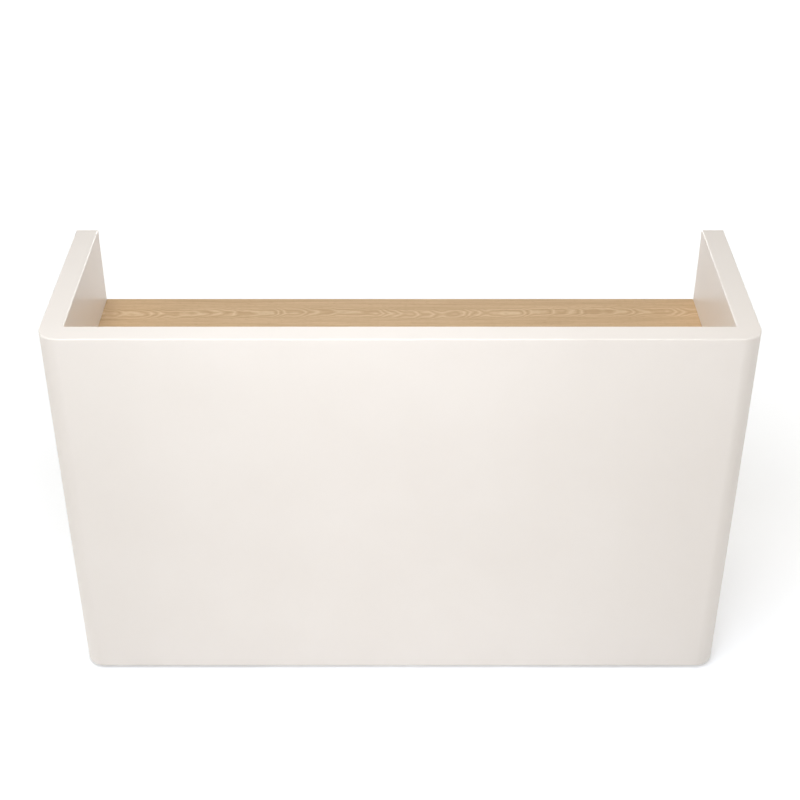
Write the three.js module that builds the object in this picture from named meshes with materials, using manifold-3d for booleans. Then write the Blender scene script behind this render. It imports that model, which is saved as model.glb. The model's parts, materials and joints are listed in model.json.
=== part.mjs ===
// A reception desk: a white lacquered screen wall, U-shaped in plan with rounded front corners, round an
// oak worktop. Under the worktop are a lockable drawer above a cupboard, a keyboard tray over the knee
// space, and open shelves. The walls are hollow: two MDF skins on a frame of battens, under a rim board.
// Millimetres, +Z up. The visitor stands on the -Y side and sees +X on the right. The origin is on the
// floor under the middle of the desk, and left and right are the visitor's.

import * as THREE from "three";
import { mergeVertices } from "three/addons/utils/BufferGeometryUtils.js";
import Module from "manifold-3d";

// Whole desk
const WIDTH = 1600; // over the outer faces of the side walls
const DEPTH = 500; // from the visitor's face to the rear ends of the side walls
const HEIGHT = 1000; // from the floor to the top of the rim
const GLUE = 0.2; // glue line or tight joint between two fixed pieces
const RUN = 0.3; // clearance between pieces that slide or turn on each other

// Walls
const SKIN = 9; // MDF sheet on either face
const CORE = 36; // space between the skins, which the batten frame fills
const BATTEN = 50; // width of a batten in the frame
const FRONT_BAYS = 4; // hollows along the front frame
const CORNER_RADIUS = 48; // outside of the two front corners
const RIM = 18; // rim board on top of the walls
const RIM_ARRIS = 3; // rounding of the rim's upper edges
const END_STRIP = 9; // board that closes a side wall's rear end
const EASE = 1.5; // rounding of the edges of fronts, strips and the tray

// Glides under the walls and unit sides
const GLIDE_HEIGHT = 10;
const GLIDE_RADIUS = 14;
const GLIDE_CHAMFER = 3;
const GLIDE_PIN_RADIUS = 2.5;
const GLIDE_PIN_LENGTH = 20;
const GLIDE_INSET = 50; // from a wall's rear end, or a unit side's rear edge

// Worktop and its cable outlet
const WORKTOP_HEIGHT = 800; // floor to the oak surface
const WORKTOP = 25;
const EDGING = 2; // oak edge strip on the operator's side
const CLEAT_HEIGHT = 40; // batten under the worktop, along the front wall
const CLEAT_DEPTH = 25;
const CABLE_X = -230; // middle of the cable outlet
const CABLE_SETBACK = 75; // from the front wall's inner face to the middle of the outlet
const CABLE_BORE = 27.5; // radius inside the sleeve
const SLEEVE_WALL = 2;
const SLEEVE_FLANGE = 5; // how far the flange reaches past the sleeve's wall
const FLANGE_THICKNESS = 3;
const CAP_LEDGE = 4; // width of the ledge that carries the cap
const CAP_THICKNESS = 1.8;
const CABLE_SLOT_WIDTH = 16;
const CABLE_SLOT_DEPTH = 22; // from the bore's wall towards the middle

// Storage units
const UNIT_WIDTH = 400; // from a side wall's inner face to the knee space
const BOARD = 18; // every carcass board
const UNIT_BASE = 40; // floor to the underside of a unit's floor board
const FRONT = 18; // drawer front and door
const FRONT_SETBACK = 42; // from the worktop's rear edge to the face of the drawer front and door
const BUMPER = 1; // gap between a closed front and the boards behind it
const REVEAL = 3; // visible gap round a front
const SHELF_SETBACK = 30; // cupboard shelf, behind the edges of the unit's boards
const OPEN_SHELVES = 2; // in the right unit

// Drawer
const DRAWER_FRONT_HEIGHT = 200;
const LOCK_RAIL = 60; // height of the rail over the drawer
const DRAWER_BACK_GAP = 36; // from the front wall to the back of the drawer and its runners
const DRAWER_SIDE = 12;
const DRAWER_FLOOR = 5;
const DRAWER_FLOOR_RAISE = 10; // from the lower edge of the drawer's sides to its floor
const DRAWER_GROOVE = 6; // depth of the groove that holds the floor
const DRAWER_LIFT = 6; // drawer's sides over the divider
const DRAWER_HEADROOM = 8; // drawer's sides under the lock rail

// Runners: a channel on the carcass and a channel on the moving piece, one inside the other
const RUNNER = 12.7; // thickness of a pair
const RUNNER_METAL = 1.2;
const RUNNER_SETBACK = 3; // behind the edges of the unit's boards
const DRAWER_RUNNER_HEIGHT = 45;
const TRAY_RUNNER_HEIGHT = 27;

// Drawer lock
const LOCK_RADIUS = 9;
const LOCK_COLLAR_RADIUS = 11;
const LOCK_COLLAR = 2;
const LOCK_DROP = 12; // axis below the lock rail
const LOCK_REACH = 1; // how far the barrel passes the lock rail
const PLUG_RADIUS = 6;
const CAM_LENGTH = 28;
const CAM_WIDTH = 12;
const CAM_THICKNESS = 2.5;
const KEYHOLE_HEIGHT = 7;
const KEYHOLE_WIDTH = 1.6;
const KEYHOLE_DEPTH = 4;

// Handles
const HANDLE_CENTRES = 128;
const HANDLE_REACH = 28; // from the front's face to the bar's middle line
const HANDLE_RADIUS = 5;
const HANDLE_BEND = 12;
const DOOR_HANDLE_INSET = 40; // from the door's free edge
const DOOR_HANDLE_DROP = 120; // from the door's top to the handle's middle

// Door hinges and catch
const LEAF = 1.2;
const LEAF_HEIGHT = 60;
const KNUCKLE_RADIUS = 3;
const HINGE_PIN_RADIUS = 1.5;
const HINGE_PIN_PLAY = 0.4; // round the pin, in the knuckles
const HINGE_PIN_HEAD = 1.2;
const HINGE_PIN_HEAD_RADIUS = 2.6;
const HINGE_INSET = 70; // from the door's top or bottom to the end of a hinge
const CATCH_WIDTH = 46;
const CATCH_DEPTH = 15;
const CATCH_HEIGHT = 16;
const CATCH_INSET = 44; // from the knee side board
const STRIKE = 1.2;
const STRIKE_MARGIN = 4; // strike plate's edges inside those of the catch

// Keyboard tray
const TRAY_DEPTH = 300;
const TRAY = 18;
const TRAY_DROP = 80; // from the worktop's underside to the tray's surface
const TRAY_SETBACK = 30; // from the worktop's rear edge
const TRAY_CORNER = 15;
const TRAY_RUNNER_LENGTH = 260;
const TRAY_RUNNER_SETBACK = 24; // behind the tray's front edge

// Facets of round forms
const CORNER_STEPS = 8; // pairs of facets along a rounded wall corner
const EASE_STEPS = 2;
const ROUND_STEPS = 24;
const SMALL_ROUND_STEPS = 16;
const TRAY_CORNER_STEPS = 3; // pairs of facets
const HANDLE_STEPS = 30;
const HANDLE_SIDES = 6; // pairs of facets

// Planes that several pieces share
const WALL = SKIN + CORE + SKIN;
const OUTER_X = WIDTH / 2;
const INNER_X = OUTER_X - WALL;
const FRONT_Y = -DEPTH / 2;
const INNER_Y = FRONT_Y + WALL;
const REAR_Y = DEPTH / 2;
const STRIP_Y = REAR_Y - END_STRIP;
const FOOT_Z = GLIDE_HEIGHT;
const RIM_Z = HEIGHT - RIM;
const WORKTOP_Z = WORKTOP_HEIGHT - WORKTOP; // its underside
const KNEE_X = INNER_X - UNIT_WIDTH;
const BAY = UNIT_WIDTH - BOARD; // clear width inside a unit
const FACE_Y = REAR_Y - FRONT_SETBACK; // face of the drawer front and door
const EDGE_Y = FACE_Y - FRONT - BUMPER; // rear edges of the left unit's boards
const BACK_Y = INNER_Y + GLUE; // where boards meet the front wall
const LOCK_RAIL_Z = WORKTOP_Z - GLUE - LOCK_RAIL;
const SPLIT_Z = WORKTOP_Z - REVEAL - DRAWER_FRONT_HEIGHT; // lower edge of the drawer front
const DRAWER_Z = SPLIT_Z + BOARD + DRAWER_LIFT;
const DRAWER_BACK_Y = INNER_Y + DRAWER_BACK_GAP;
const HINGE_GAP = 2 * LEAF + 3 * GLUE; // door's edge to the wall, with both leaves between
const HALF_TURN = Math.PI;
const QUARTER_TURN = Math.PI / 2;

const wasm = await Module();
wasm.setup();

const finish = (color, roughness, metalness = 0) =>
  new THREE.MeshStandardMaterial({ color, roughness, metalness });
const lacquer = () => finish(0xf1ece7, 0.35);
const oak = () => finish(0xc2a27c, 0.5);
const bareMdf = () => finish(0xb89a78, 0.85);
const melamine = () => finish(0xefebe6, 0.45);
const nylon = () => finish(0x2b2b2c, 0.55);
const greyPlastic = () => finish(0x8f8d8a, 0.5);
const zincSteel = () => finish(0xb9bbbd, 0.4, 1);
const satinNickel = () => finish(0xb4afa8, 0.3, 1);

/** Closed solid of a geometry, for cutting and joining. */
function solidOf(geometry) {
  const bare = geometry.clone();
  bare.deleteAttribute("normal");
  bare.deleteAttribute("uv");
  const { attributes, index } = mergeVertices(bare);
  const triVerts = Uint32Array.from(index.array);
  const mesh = { numProp: 3, vertProperties: attributes.position.array, triVerts };
  return new wasm.Manifold(new wasm.Mesh(mesh));
}

/** Geometry of a solid, the way back from solidOf. */
function geometryOf(solid) {
  const { vertProperties, triVerts } = solid.getMesh();
  const geometry = new THREE.BufferGeometry();
  geometry.setAttribute("position", new THREE.BufferAttribute(vertProperties, 3));
  geometry.setIndex(new THREE.BufferAttribute(triVerts, 1));
  return geometry;
}

const cut = (body, ...tools) =>
  geometryOf(tools.reduce((solid, tool) => solid.subtract(solidOf(tool)), solidOf(body)));

const join = (body, ...others) =>
  geometryOf(others.reduce((solid, other) => solid.add(solidOf(other)), solidOf(body)));

/** Block between two values along each axis. */
function block([x0, x1], [y0, y1], [z0, z1]) {
  const geometry = new THREE.BoxGeometry(x1 - x0, y1 - y0, z1 - z0);
  return geometry.translate((x0 + x1) / 2, (y0 + y1) / 2, (z0 + z1) / 2);
}

/** Named sub-part at a place in its group. */
function piece(name, material, geometry, [x, y, z] = [0, 0, 0]) {
  const mesh = new THREE.Mesh(geometry, material);
  mesh.name = name;
  mesh.position.set(x, y, z);
  return mesh;
}

/** Plain rectangular board, placed by its middle. */
function board(name, material, [x0, x1], [y0, y1], [z0, z1]) {
  const geometry = new THREE.BoxGeometry(x1 - x0, y1 - y0, z1 - z0);
  return piece(name, material, geometry, [(x0 + x1) / 2, (y0 + y1) / 2, (z0 + z1) / 2]);
}

/** Skins like anticlockwise outlines, each { points, z }, from the lowest up, and closes both ends. */
function loft(rings) {
  const count = rings[0].points.length;
  const corners = rings.flatMap(({ points, z }) => points.flatMap((point) => [point.x, point.y, z]));
  const faces = [];
  for (let low = 0; low < (rings.length - 1) * count; low += count) {
    for (let side = 0; side < count; side += 1) {
      const next = (side + 1) % count;
      faces.push(low + side, low + next, low + count + next);
      faces.push(low + side, low + count + next, low + count + side);
    }
  }
  const top = (rings.length - 1) * count;
  for (const [a, b, c] of THREE.ShapeUtils.triangulateShape(rings[0].points, [])) {
    faces.push(a, c, b, top + a, top + b, top + c);
  }
  const geometry = new THREE.BufferGeometry();
  geometry.setAttribute("position", new THREE.Float32BufferAttribute(corners, 3));
  geometry.setIndex(faces);
  return geometry;
}

/** Slab from z = 0 up, with its upper edge rounded, and its lower edge too if asked. */
function easedSlab(outlineAt, thickness, ease, bothFaces = false) {
  const rounding = [];
  for (let step = 0; step <= EASE_STEPS; step += 1) {
    const turn = (QUARTER_TURN * step) / EASE_STEPS;
    rounding.push({ inset: ease * (1 - Math.cos(turn)), fall: ease * (1 - Math.sin(turn)) });
  }
  const upper = rounding.map(({ inset, fall }) => ({ points: outlineAt(inset), z: thickness - fall }));
  const foot = { points: outlineAt(0), z: 0 };
  const lower = bothFaces
    ? rounding.map(({ inset, fall }) => ({ points: outlineAt(inset), z: fall })).reverse()
    : [foot];
  return loft([...lower, ...upper]);
}

/** Outline of a rectangle, inset by a little on every side. */
const rectangle = ([x0, x1], [y0, y1]) => (inset) => [
  new THREE.Vector2(x0 + inset, y0 + inset),
  new THREE.Vector2(x1 - inset, y0 + inset),
  new THREE.Vector2(x1 - inset, y1 - inset),
  new THREE.Vector2(x0 + inset, y1 - inset),
];

/** Upright panel with eased edges on the operator's face: x and z ranges, its face's y and its thickness. */
function frontPanel(xRange, [z0, z1], faceY, thickness) {
  const ease = Math.min(EASE, thickness / 2);
  const slab = easedSlab(rectangle(xRange, [-z1, -z0]), thickness, ease);
  return slab.rotateX(-QUARTER_TURN).translate(0, faceY - thickness, 0);
}

/** Ring or disc turned about +Z from a closed profile of [radius, z] points, which runs anticlockwise. */
function turned(profile, steps) {
  const points = profile.map(([radius, z]) => new THREE.Vector2(radius, z));
  return new THREE.LatheGeometry(points, steps).rotateX(QUARTER_TURN);
}

/** Solid rod or disc along +Z, for pins and bores. */
function rod(radius, [z0, z1], steps) {
  return turned([[0, z0], [radius, z0], [radius, z1], [0, z1]], steps);
}

/** Plan outline of a U-shaped strip between two depths into the walls, its inner corners sharp or round. */
function wallStrip(outside, inside, rearY, innerRadius = 0) {
  const shape = new THREE.Shape();
  const outerX = OUTER_X - outside;
  const innerX = OUTER_X - inside;
  const innerY = FRONT_Y + inside;
  const centreX = OUTER_X - CORNER_RADIUS;
  const centreY = FRONT_Y + CORNER_RADIUS;
  const outerRadius = CORNER_RADIUS - outside;
  shape.moveTo(-innerX, rearY);
  shape.lineTo(-outerX, rearY);
  shape.absarc(-centreX, centreY, outerRadius, HALF_TURN, HALF_TURN + QUARTER_TURN, false);
  shape.absarc(centreX, centreY, outerRadius, -QUARTER_TURN, 0, false);
  shape.lineTo(outerX, rearY);
  shape.lineTo(innerX, rearY);
  if (innerRadius > 0) {
    shape.absarc(centreX, centreY, innerRadius, 0, -QUARTER_TURN, true);
    shape.absarc(-centreX, centreY, innerRadius, -QUARTER_TURN, -HALF_TURN, true);
  } else {
    shape.lineTo(innerX, innerY);
    shape.lineTo(-innerX, innerY);
  }
  return shape.getPoints(CORNER_STEPS);
}

/** The windows of a batten frame: ranges along the wall and up it, between rails and studs. */
function frameWindows([from, to], bays) {
  const pitch = (to - from - BATTEN) / bays;
  const middleRail = WORKTOP_Z + WORKTOP / 2;
  const rows = [
    [FOOT_Z + BATTEN, middleRail - BATTEN / 2],
    [middleRail + BATTEN / 2, RIM_Z - BATTEN],
  ];
  const columns = Array.from({ length: bays }, (_, bay) => {
    const start = from + BATTEN + bay * pitch;
    return [start, start + pitch - BATTEN];
  });
  return columns.flatMap((column) => rows.map((row) => ({ column, row })));
}

/** Bore for a glide's pin, up into whatever stands on it. */
function glideBore(x, y) {
  const bore = rod(GLIDE_PIN_RADIUS + RUN, [0, GLIDE_HEIGHT + GLIDE_PIN_LENGTH + RUN], SMALL_ROUND_STEPS);
  return bore.translate(x, y, 0);
}

// Where the glides stand: under the front corners, the walls' rear ends and the unit sides
const glidePlaces = [
  ["front_left", -INNER_X, FRONT_Y + WALL / 2],
  ["front_right", INNER_X, FRONT_Y + WALL / 2],
  ["rear_left", -(INNER_X + WALL / 2), REAR_Y - GLIDE_INSET],
  ["rear_right", INNER_X + WALL / 2, REAR_Y - GLIDE_INSET],
  ["unit_left", -(KNEE_X + BOARD / 2), EDGE_Y - GLIDE_INSET],
  ["unit_right", KNEE_X + BOARD / 2, EDGE_Y - GLIDE_INSET],
];
const glideBores = glidePlaces.map(([, x, y]) => glideBore(x, y));

function glides() {
  const group = new THREE.Group();
  const top = GLIDE_HEIGHT - GLUE;
  const profile = [
    [0, 0],
    [GLIDE_RADIUS - GLIDE_CHAMFER, 0],
    [GLIDE_RADIUS, GLIDE_CHAMFER],
    [GLIDE_RADIUS, top],
    [GLIDE_PIN_RADIUS, top],
    [GLIDE_PIN_RADIUS, top + GLIDE_PIN_LENGTH],
    [0, top + GLIDE_PIN_LENGTH],
  ];
  for (const [place, x, y] of glidePlaces) {
    group.add(piece(`glide_${place}`, nylon(), turned(profile, SMALL_ROUND_STEPS), [x, y, 0]));
  }
  return group;
}

/** Front frame: battens from corner to corner, its ends rounded to back the bent skin. */
function frontFrame() {
  const inset = SKIN + GLUE;
  const back = INNER_Y - SKIN - GLUE;
  const reach = Math.max(back, FRONT_Y + CORNER_RADIUS);
  const outline = wallStrip(inset, SKIN + CORE + CORNER_RADIUS, reach);
  const height = RIM_Z - GLUE - FOOT_Z;
  const slab = loft([{ points: outline, z: FOOT_Z }, { points: outline, z: FOOT_Z + height }]);
  const behind = block([-OUTER_X, OUTER_X], [back, back + DEPTH], [0, HEIGHT]);
  const windows = frameWindows([-INNER_X, INNER_X], FRONT_BAYS);
  const openings = windows.map(({ column, row }) => block(column, [FRONT_Y, INNER_Y], row));
  return cut(slab, behind, ...openings, ...glideBores);
}

/** Side frame of one wall, from the end of the bent corner to the end strip. */
function sideFrame(side) {
  const near = side * (INNER_X + SKIN + GLUE);
  const far = side * (OUTER_X - SKIN - GLUE);
  const along = [Math.max(INNER_Y - SKIN, FRONT_Y + CORNER_RADIUS), STRIP_Y - GLUE];
  const acrossWall = [Math.min(near, far), Math.max(near, far)];
  const openings = frameWindows(along, 1).map(({ column, row }) => block(acrossWall, column, row));
  return cut(block(acrossWall, along, [FOOT_Z, RIM_Z - GLUE]), ...openings, ...glideBores);
}

function walls() {
  const group = new THREE.Group();
  const upright = [FOOT_Z, RIM_Z - GLUE];
  const skinOutline = wallStrip(0, SKIN, STRIP_Y - GLUE, CORNER_RADIUS - SKIN);
  const skin = loft(upright.map((z) => ({ points: skinOutline, z })));
  group.add(piece("outer_skin", lacquer(), skin));

  const rimOutline = (inset) => wallStrip(inset, WALL - inset, REAR_Y - inset);
  group.add(piece("rim_cap", lacquer(), easedSlab(rimOutline, RIM, RIM_ARRIS), [0, 0, RIM_Z]));

  const behindFront = INNER_X + SKIN;
  const frontX = [-behindFront, behindFront];
  group.add(board("front_inner_skin", lacquer(), frontX, [INNER_Y - SKIN, INNER_Y], upright));
  group.add(piece("front_core_frame", bareMdf(), frontFrame()));

  for (const [place, side] of [["left", -1], ["right", 1]]) {
    const wallX = [side * INNER_X, side * behindFront].sort((a, b) => a - b);
    const stripX = [side * INNER_X, side * OUTER_X].sort((a, b) => a - b);
    group.add(board(`${place}_inner_skin`, lacquer(), wallX, [BACK_Y, STRIP_Y - GLUE], upright));
    group.add(piece(`${place}_core_frame`, bareMdf(), sideFrame(side)));
    group.add(piece(`${place}_end_strip`, lacquer(), frontPanel(stripX, upright, REAR_Y, END_STRIP)));
  }
  return group;
}

/** Oak worktop between the walls, with its edge strip, cleat and cable outlet. */
function worktop() {
  const group = new THREE.Group();
  const across = [-(INNER_X - GLUE), INNER_X - GLUE];
  const thickness = [WORKTOP_Z, WORKTOP_HEIGHT];
  const cableY = INNER_Y + CABLE_SETBACK;
  const sleeveRadius = CABLE_BORE + SLEEVE_WALL;
  const flangeRadius = sleeveRadius + SLEEVE_FLANGE;

  const hole = rod(sleeveRadius + RUN, [0, HEIGHT], ROUND_STEPS);
  const recess = rod(flangeRadius + RUN, [WORKTOP_HEIGHT - FLANGE_THICKNESS - GLUE, HEIGHT], ROUND_STEPS);
  const top = block(across, [BACK_Y, REAR_Y - EDGING - GLUE], thickness);
  const outlet = [hole, recess].map((tool) => tool.translate(CABLE_X, cableY, 0));
  group.add(piece("worktop", oak(), cut(top, ...outlet)));
  group.add(piece("worktop_edging", oak(), frontPanel(across, thickness, REAR_Y, EDGING)));

  const ledgeRadius = CABLE_BORE + CAP_LEDGE;
  const ledgeZ = -CAP_THICKNESS - GLUE;
  const sleeve = [
    [CABLE_BORE, -WORKTOP],
    [sleeveRadius, -WORKTOP],
    [sleeveRadius, -FLANGE_THICKNESS],
    [flangeRadius, -FLANGE_THICKNESS],
    [flangeRadius, 0],
    [ledgeRadius, 0],
    [ledgeRadius, ledgeZ],
    [CABLE_BORE, ledgeZ],
    [CABLE_BORE, -WORKTOP],
  ];
  const outletPlace = [CABLE_X, cableY, WORKTOP_HEIGHT];
  group.add(piece("cable_sleeve", greyPlastic(), turned(sleeve, ROUND_STEPS), outletPlace));

  const disc = rod(ledgeRadius - RUN, [-CAP_THICKNESS, 0], ROUND_STEPS);
  const halfSlot = CABLE_SLOT_WIDTH / 2;
  const slotEnd = CABLE_BORE - CABLE_SLOT_DEPTH + halfSlot;
  const slot = block([-halfSlot, halfSlot], [slotEnd, flangeRadius], [-WORKTOP, WORKTOP]);
  const slotRound = rod(halfSlot, [-WORKTOP, WORKTOP], SMALL_ROUND_STEPS).translate(0, slotEnd, 0);
  group.add(piece("cable_cap", greyPlastic(), cut(disc, slot, slotRound), outletPlace));

  const cleatX = [-(KNEE_X - GLUE), KNEE_X - GLUE];
  const cleatZ = [WORKTOP_Z - GLUE - CLEAT_HEIGHT, WORKTOP_Z - GLUE];
  group.add(board("worktop_cleat", melamine(), cleatX, [BACK_Y, BACK_Y + CLEAT_DEPTH], cleatZ));
  return group;
}

/** Channel section of a runner, extruded towards -Y: x across the pair from the carcass, z up. */
function channel(points, length) {
  const section = new THREE.Shape(points.map(([x, z]) => new THREE.Vector2(x, z)));
  const options = { depth: length, bevelEnabled: false };
  return new THREE.ExtrudeGeometry(section, options).rotateX(QUARTER_TURN);
}

function fixedChannel(height, length) {
  const half = height / 2;
  const lip = RUNNER - 2 * RUNNER_METAL;
  const inner = half - RUNNER_METAL;
  return channel(
    [
      [0, -half],
      [lip, -half],
      [lip, -inner],
      [RUNNER_METAL, -inner],
      [RUNNER_METAL, inner],
      [lip, inner],
      [lip, half],
      [0, half],
    ],
    length,
  );
}

function movingChannel(height, length) {
  const half = height / 2 - RUNNER_METAL - RUN;
  const lip = 2 * RUNNER_METAL;
  const web = RUNNER - RUNNER_METAL;
  const inner = half - RUNNER_METAL;
  return channel(
    [
      [RUNNER, half],
      [lip, half],
      [lip, inner],
      [web, inner],
      [web, -inner],
      [lip, -inner],
      [lip, -half],
      [RUNNER, -half],
    ],
    length,
  );
}

/** Four channels of a pair of runners between two upright faces that face each other across X. */
function runners(name, [leftX, rightX], frontY, middleZ, height, length) {
  const kinds = [["fixed", fixedChannel], ["moving", movingChannel]];
  return kinds.flatMap(([kind, make]) => {
    const left = piece(`${name}_left_${kind}`, zincSteel(), make(height, length));
    const right = piece(`${name}_right_${kind}`, zincSteel(), make(height, length));
    left.position.set(leftX + GLUE, frontY, middleZ);
    right.position.set(rightX - GLUE, frontY, middleZ);
    right.rotation.y = HALF_TURN;
    return [left, right];
  });
}

/** Bow handle: a round bar with two bends, its feet at y = 0 and its bar along X. */
function bowHandle() {
  const half = HANDLE_CENTRES / 2;
  const turnY = HANDLE_REACH - HANDLE_BEND;
  const turnX = half - HANDLE_BEND;
  const at = (x, y) => new THREE.Vector3(x, y, 0);
  const straight = (from, to) => new THREE.LineCurve3(from, to);
  const bend = (from, over, to) => new THREE.QuadraticBezierCurve3(from, over, to);
  const path = new THREE.CurvePath();
  path.add(straight(at(-half, 0), at(-half, turnY)));
  path.add(bend(at(-half, turnY), at(-half, HANDLE_REACH), at(-turnX, HANDLE_REACH)));
  path.add(straight(at(-turnX, HANDLE_REACH), at(turnX, HANDLE_REACH)));
  path.add(bend(at(turnX, HANDLE_REACH), at(half, HANDLE_REACH), at(half, turnY)));
  path.add(straight(at(half, turnY), at(half, 0)));
  const section = new THREE.Shape();
  section.absarc(0, 0, HANDLE_RADIUS, 0, 2 * HALF_TURN, false);
  const options = { extrudePath: path, steps: HANDLE_STEPS, curveSegments: HANDLE_SIDES };
  return new THREE.ExtrudeGeometry(section, options);
}

/** Drawer with its lock, in a frame at the middle of the bay, its front's face at y = 0. */
function drawer() {
  const group = new THREE.Group();
  const frontX = [REVEAL - BAY / 2, UNIT_WIDTH - BAY / 2];
  const middleX = (frontX[0] + frontX[1]) / 2;
  const lockZ = LOCK_RAIL_Z - LOCK_DROP;
  const height = LOCK_RAIL_Z - DRAWER_HEADROOM - DRAWER_Z;
  const half = BAY / 2 - RUNNER - 2 * GLUE;
  const insideHalf = half - DRAWER_SIDE;
  const nearY = -FRONT - GLUE;
  const farY = DRAWER_BACK_Y - FACE_Y;

  const lockHole = rod(LOCK_RADIUS + RUN, [-DEPTH, DEPTH], ROUND_STEPS).rotateX(QUARTER_TURN);
  const front = frontPanel(frontX, [SPLIT_Z, SPLIT_Z + DRAWER_FRONT_HEIGHT], 0, FRONT);
  group.add(piece("drawer_front", lacquer(), cut(front, lockHole.translate(middleX, 0, lockZ))));

  const shell = block([-half, half], [farY, nearY], [0, height]);
  const inside = block([-insideHalf, insideHalf], [farY + DRAWER_SIDE, 0], [-height, 2 * height]);
  const floorZ = [DRAWER_FLOOR_RAISE, DRAWER_FLOOR_RAISE + DRAWER_FLOOR];
  const grooveHalf = insideHalf + DRAWER_GROOVE;
  const grooveY = farY + DRAWER_SIDE - DRAWER_GROOVE;
  const groove = block([-grooveHalf, grooveHalf], [grooveY, 0], [floorZ[0] - GLUE, floorZ[1] + GLUE]);
  group.add(piece("drawer_sides", melamine(), cut(shell, inside, groove), [0, 0, DRAWER_Z]));

  const floorX = [-(grooveHalf - GLUE), grooveHalf - GLUE];
  const floorBoard = board("drawer_floor", melamine(), floorX, [grooveY + GLUE, nearY], floorZ);
  floorBoard.position.z += DRAWER_Z;
  group.add(floorBoard);

  const handleZ = SPLIT_Z + DRAWER_FRONT_HEIGHT / 2;
  group.add(piece("drawer_handle", satinNickel(), bowHandle(), [middleX, GLUE, handleZ]));
  group.add(...drawerLock(middleX, lockZ));
  return group;
}

/** Cam lock through the drawer front: a barrel with a collar, and a plug that carries the cam. */
function drawerLock(x, z) {
  const barrelEnd = -(FRONT + BUMPER + BOARD + LOCK_REACH);
  const bore = PLUG_RADIUS + RUN;
  const collarFace = GLUE + LOCK_COLLAR;
  const barrel = [
    [bore, -collarFace],
    [LOCK_COLLAR_RADIUS, -collarFace],
    [LOCK_COLLAR_RADIUS, -GLUE],
    [LOCK_RADIUS, -GLUE],
    [LOCK_RADIUS, -barrelEnd],
    [bore, -barrelEnd],
    [bore, -collarFace],
  ];
  const tube = turned(barrel, ROUND_STEPS).rotateX(QUARTER_TURN);
  const body = piece("lock_body", satinNickel(), tube, [x, 0, z]);

  const camFront = barrelEnd - RUN;
  const camBack = camFront - CAM_THICKNESS;
  const halfCam = CAM_WIDTH / 2;
  const shaft = rod(PLUG_RADIUS, [-collarFace, -camBack], ROUND_STEPS).rotateX(QUARTER_TURN);
  const cam = block([-CAM_LENGTH, 0], [camBack, camFront], [-halfCam, halfCam]);
  const halfKey = [KEYHOLE_WIDTH / 2, KEYHOLE_HEIGHT / 2];
  const keyDepth = [collarFace - KEYHOLE_DEPTH, collarFace + KEYHOLE_DEPTH];
  const keyhole = block([-halfKey[0], halfKey[0]], keyDepth, [-halfKey[1], halfKey[1]]);
  const plug = piece("lock_plug", satinNickel(), cut(join(shaft, cam), keyhole), [x, 0, z]);
  return [body, plug];
}

/** Butt hinge about its own pin: the wall is on -X, the door lies towards +X and -Y of the pin. */
function buttHinge(name) {
  const third = LEAF_HEIGHT / 3;
  const bore = HINGE_PIN_RADIUS + HINGE_PIN_PLAY;
  const knuckle = (z0, z1) => {
    const ring = [[bore, z0], [KNUCKLE_RADIUS, z0], [KNUCKLE_RADIUS, z1], [bore, z1], [bore, z0]];
    return turned(ring, SMALL_ROUND_STEPS);
  };
  const wallFace = -(KNUCKLE_RADIUS + GLUE);
  const doorEdge = wallFace + HINGE_GAP;
  const leafClear = -(KNUCKLE_RADIUS + RUN);
  const leafEnd = leafClear - FRONT + LEAF;
  const leaf = ([x0, x1], z) => block([x0, x1], [leafEnd, leafClear], z);

  const wallLeafX = [wallFace + GLUE, wallFace + GLUE + LEAF];
  const wallTab = (z) => block(wallLeafX, [leafClear - LEAF, -HINGE_PIN_RADIUS], z);
  const ends = [[0, third], [2 * third, LEAF_HEIGHT]];
  const wallPieces = ends.flatMap((z) => [knuckle(...z), wallTab(z)]);
  const wallLeaf = join(leaf(wallLeafX, [0, LEAF_HEIGHT]), ...wallPieces);

  const doorLeafX = [doorEdge - GLUE - LEAF, doorEdge - GLUE];
  const middle = [third + RUN, 2 * third - RUN];
  const doorTab = block(doorLeafX, [leafClear - LEAF, -(bore + RUN)], middle);
  const doorLeaf = join(leaf(doorLeafX, [0, LEAF_HEIGHT]), knuckle(...middle), doorTab);

  const low = -GLUE;
  const high = LEAF_HEIGHT + GLUE;
  const pin = [
    [0, low - HINGE_PIN_HEAD],
    [HINGE_PIN_HEAD_RADIUS, low - HINGE_PIN_HEAD],
    [HINGE_PIN_HEAD_RADIUS, low],
    [HINGE_PIN_RADIUS, low],
    [HINGE_PIN_RADIUS, high],
    [HINGE_PIN_HEAD_RADIUS, high],
    [HINGE_PIN_HEAD_RADIUS, high + HINGE_PIN_HEAD],
    [0, high + HINGE_PIN_HEAD],
  ];
  const group = new THREE.Group();
  group.add(piece(`${name}_wall_leaf`, satinNickel(), wallLeaf));
  group.add(piece(`${name}_door_leaf`, satinNickel(), doorLeaf));
  group.add(piece(`${name}_pin`, satinNickel(), turned(pin, SMALL_ROUND_STEPS)));
  return group;
}

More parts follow.
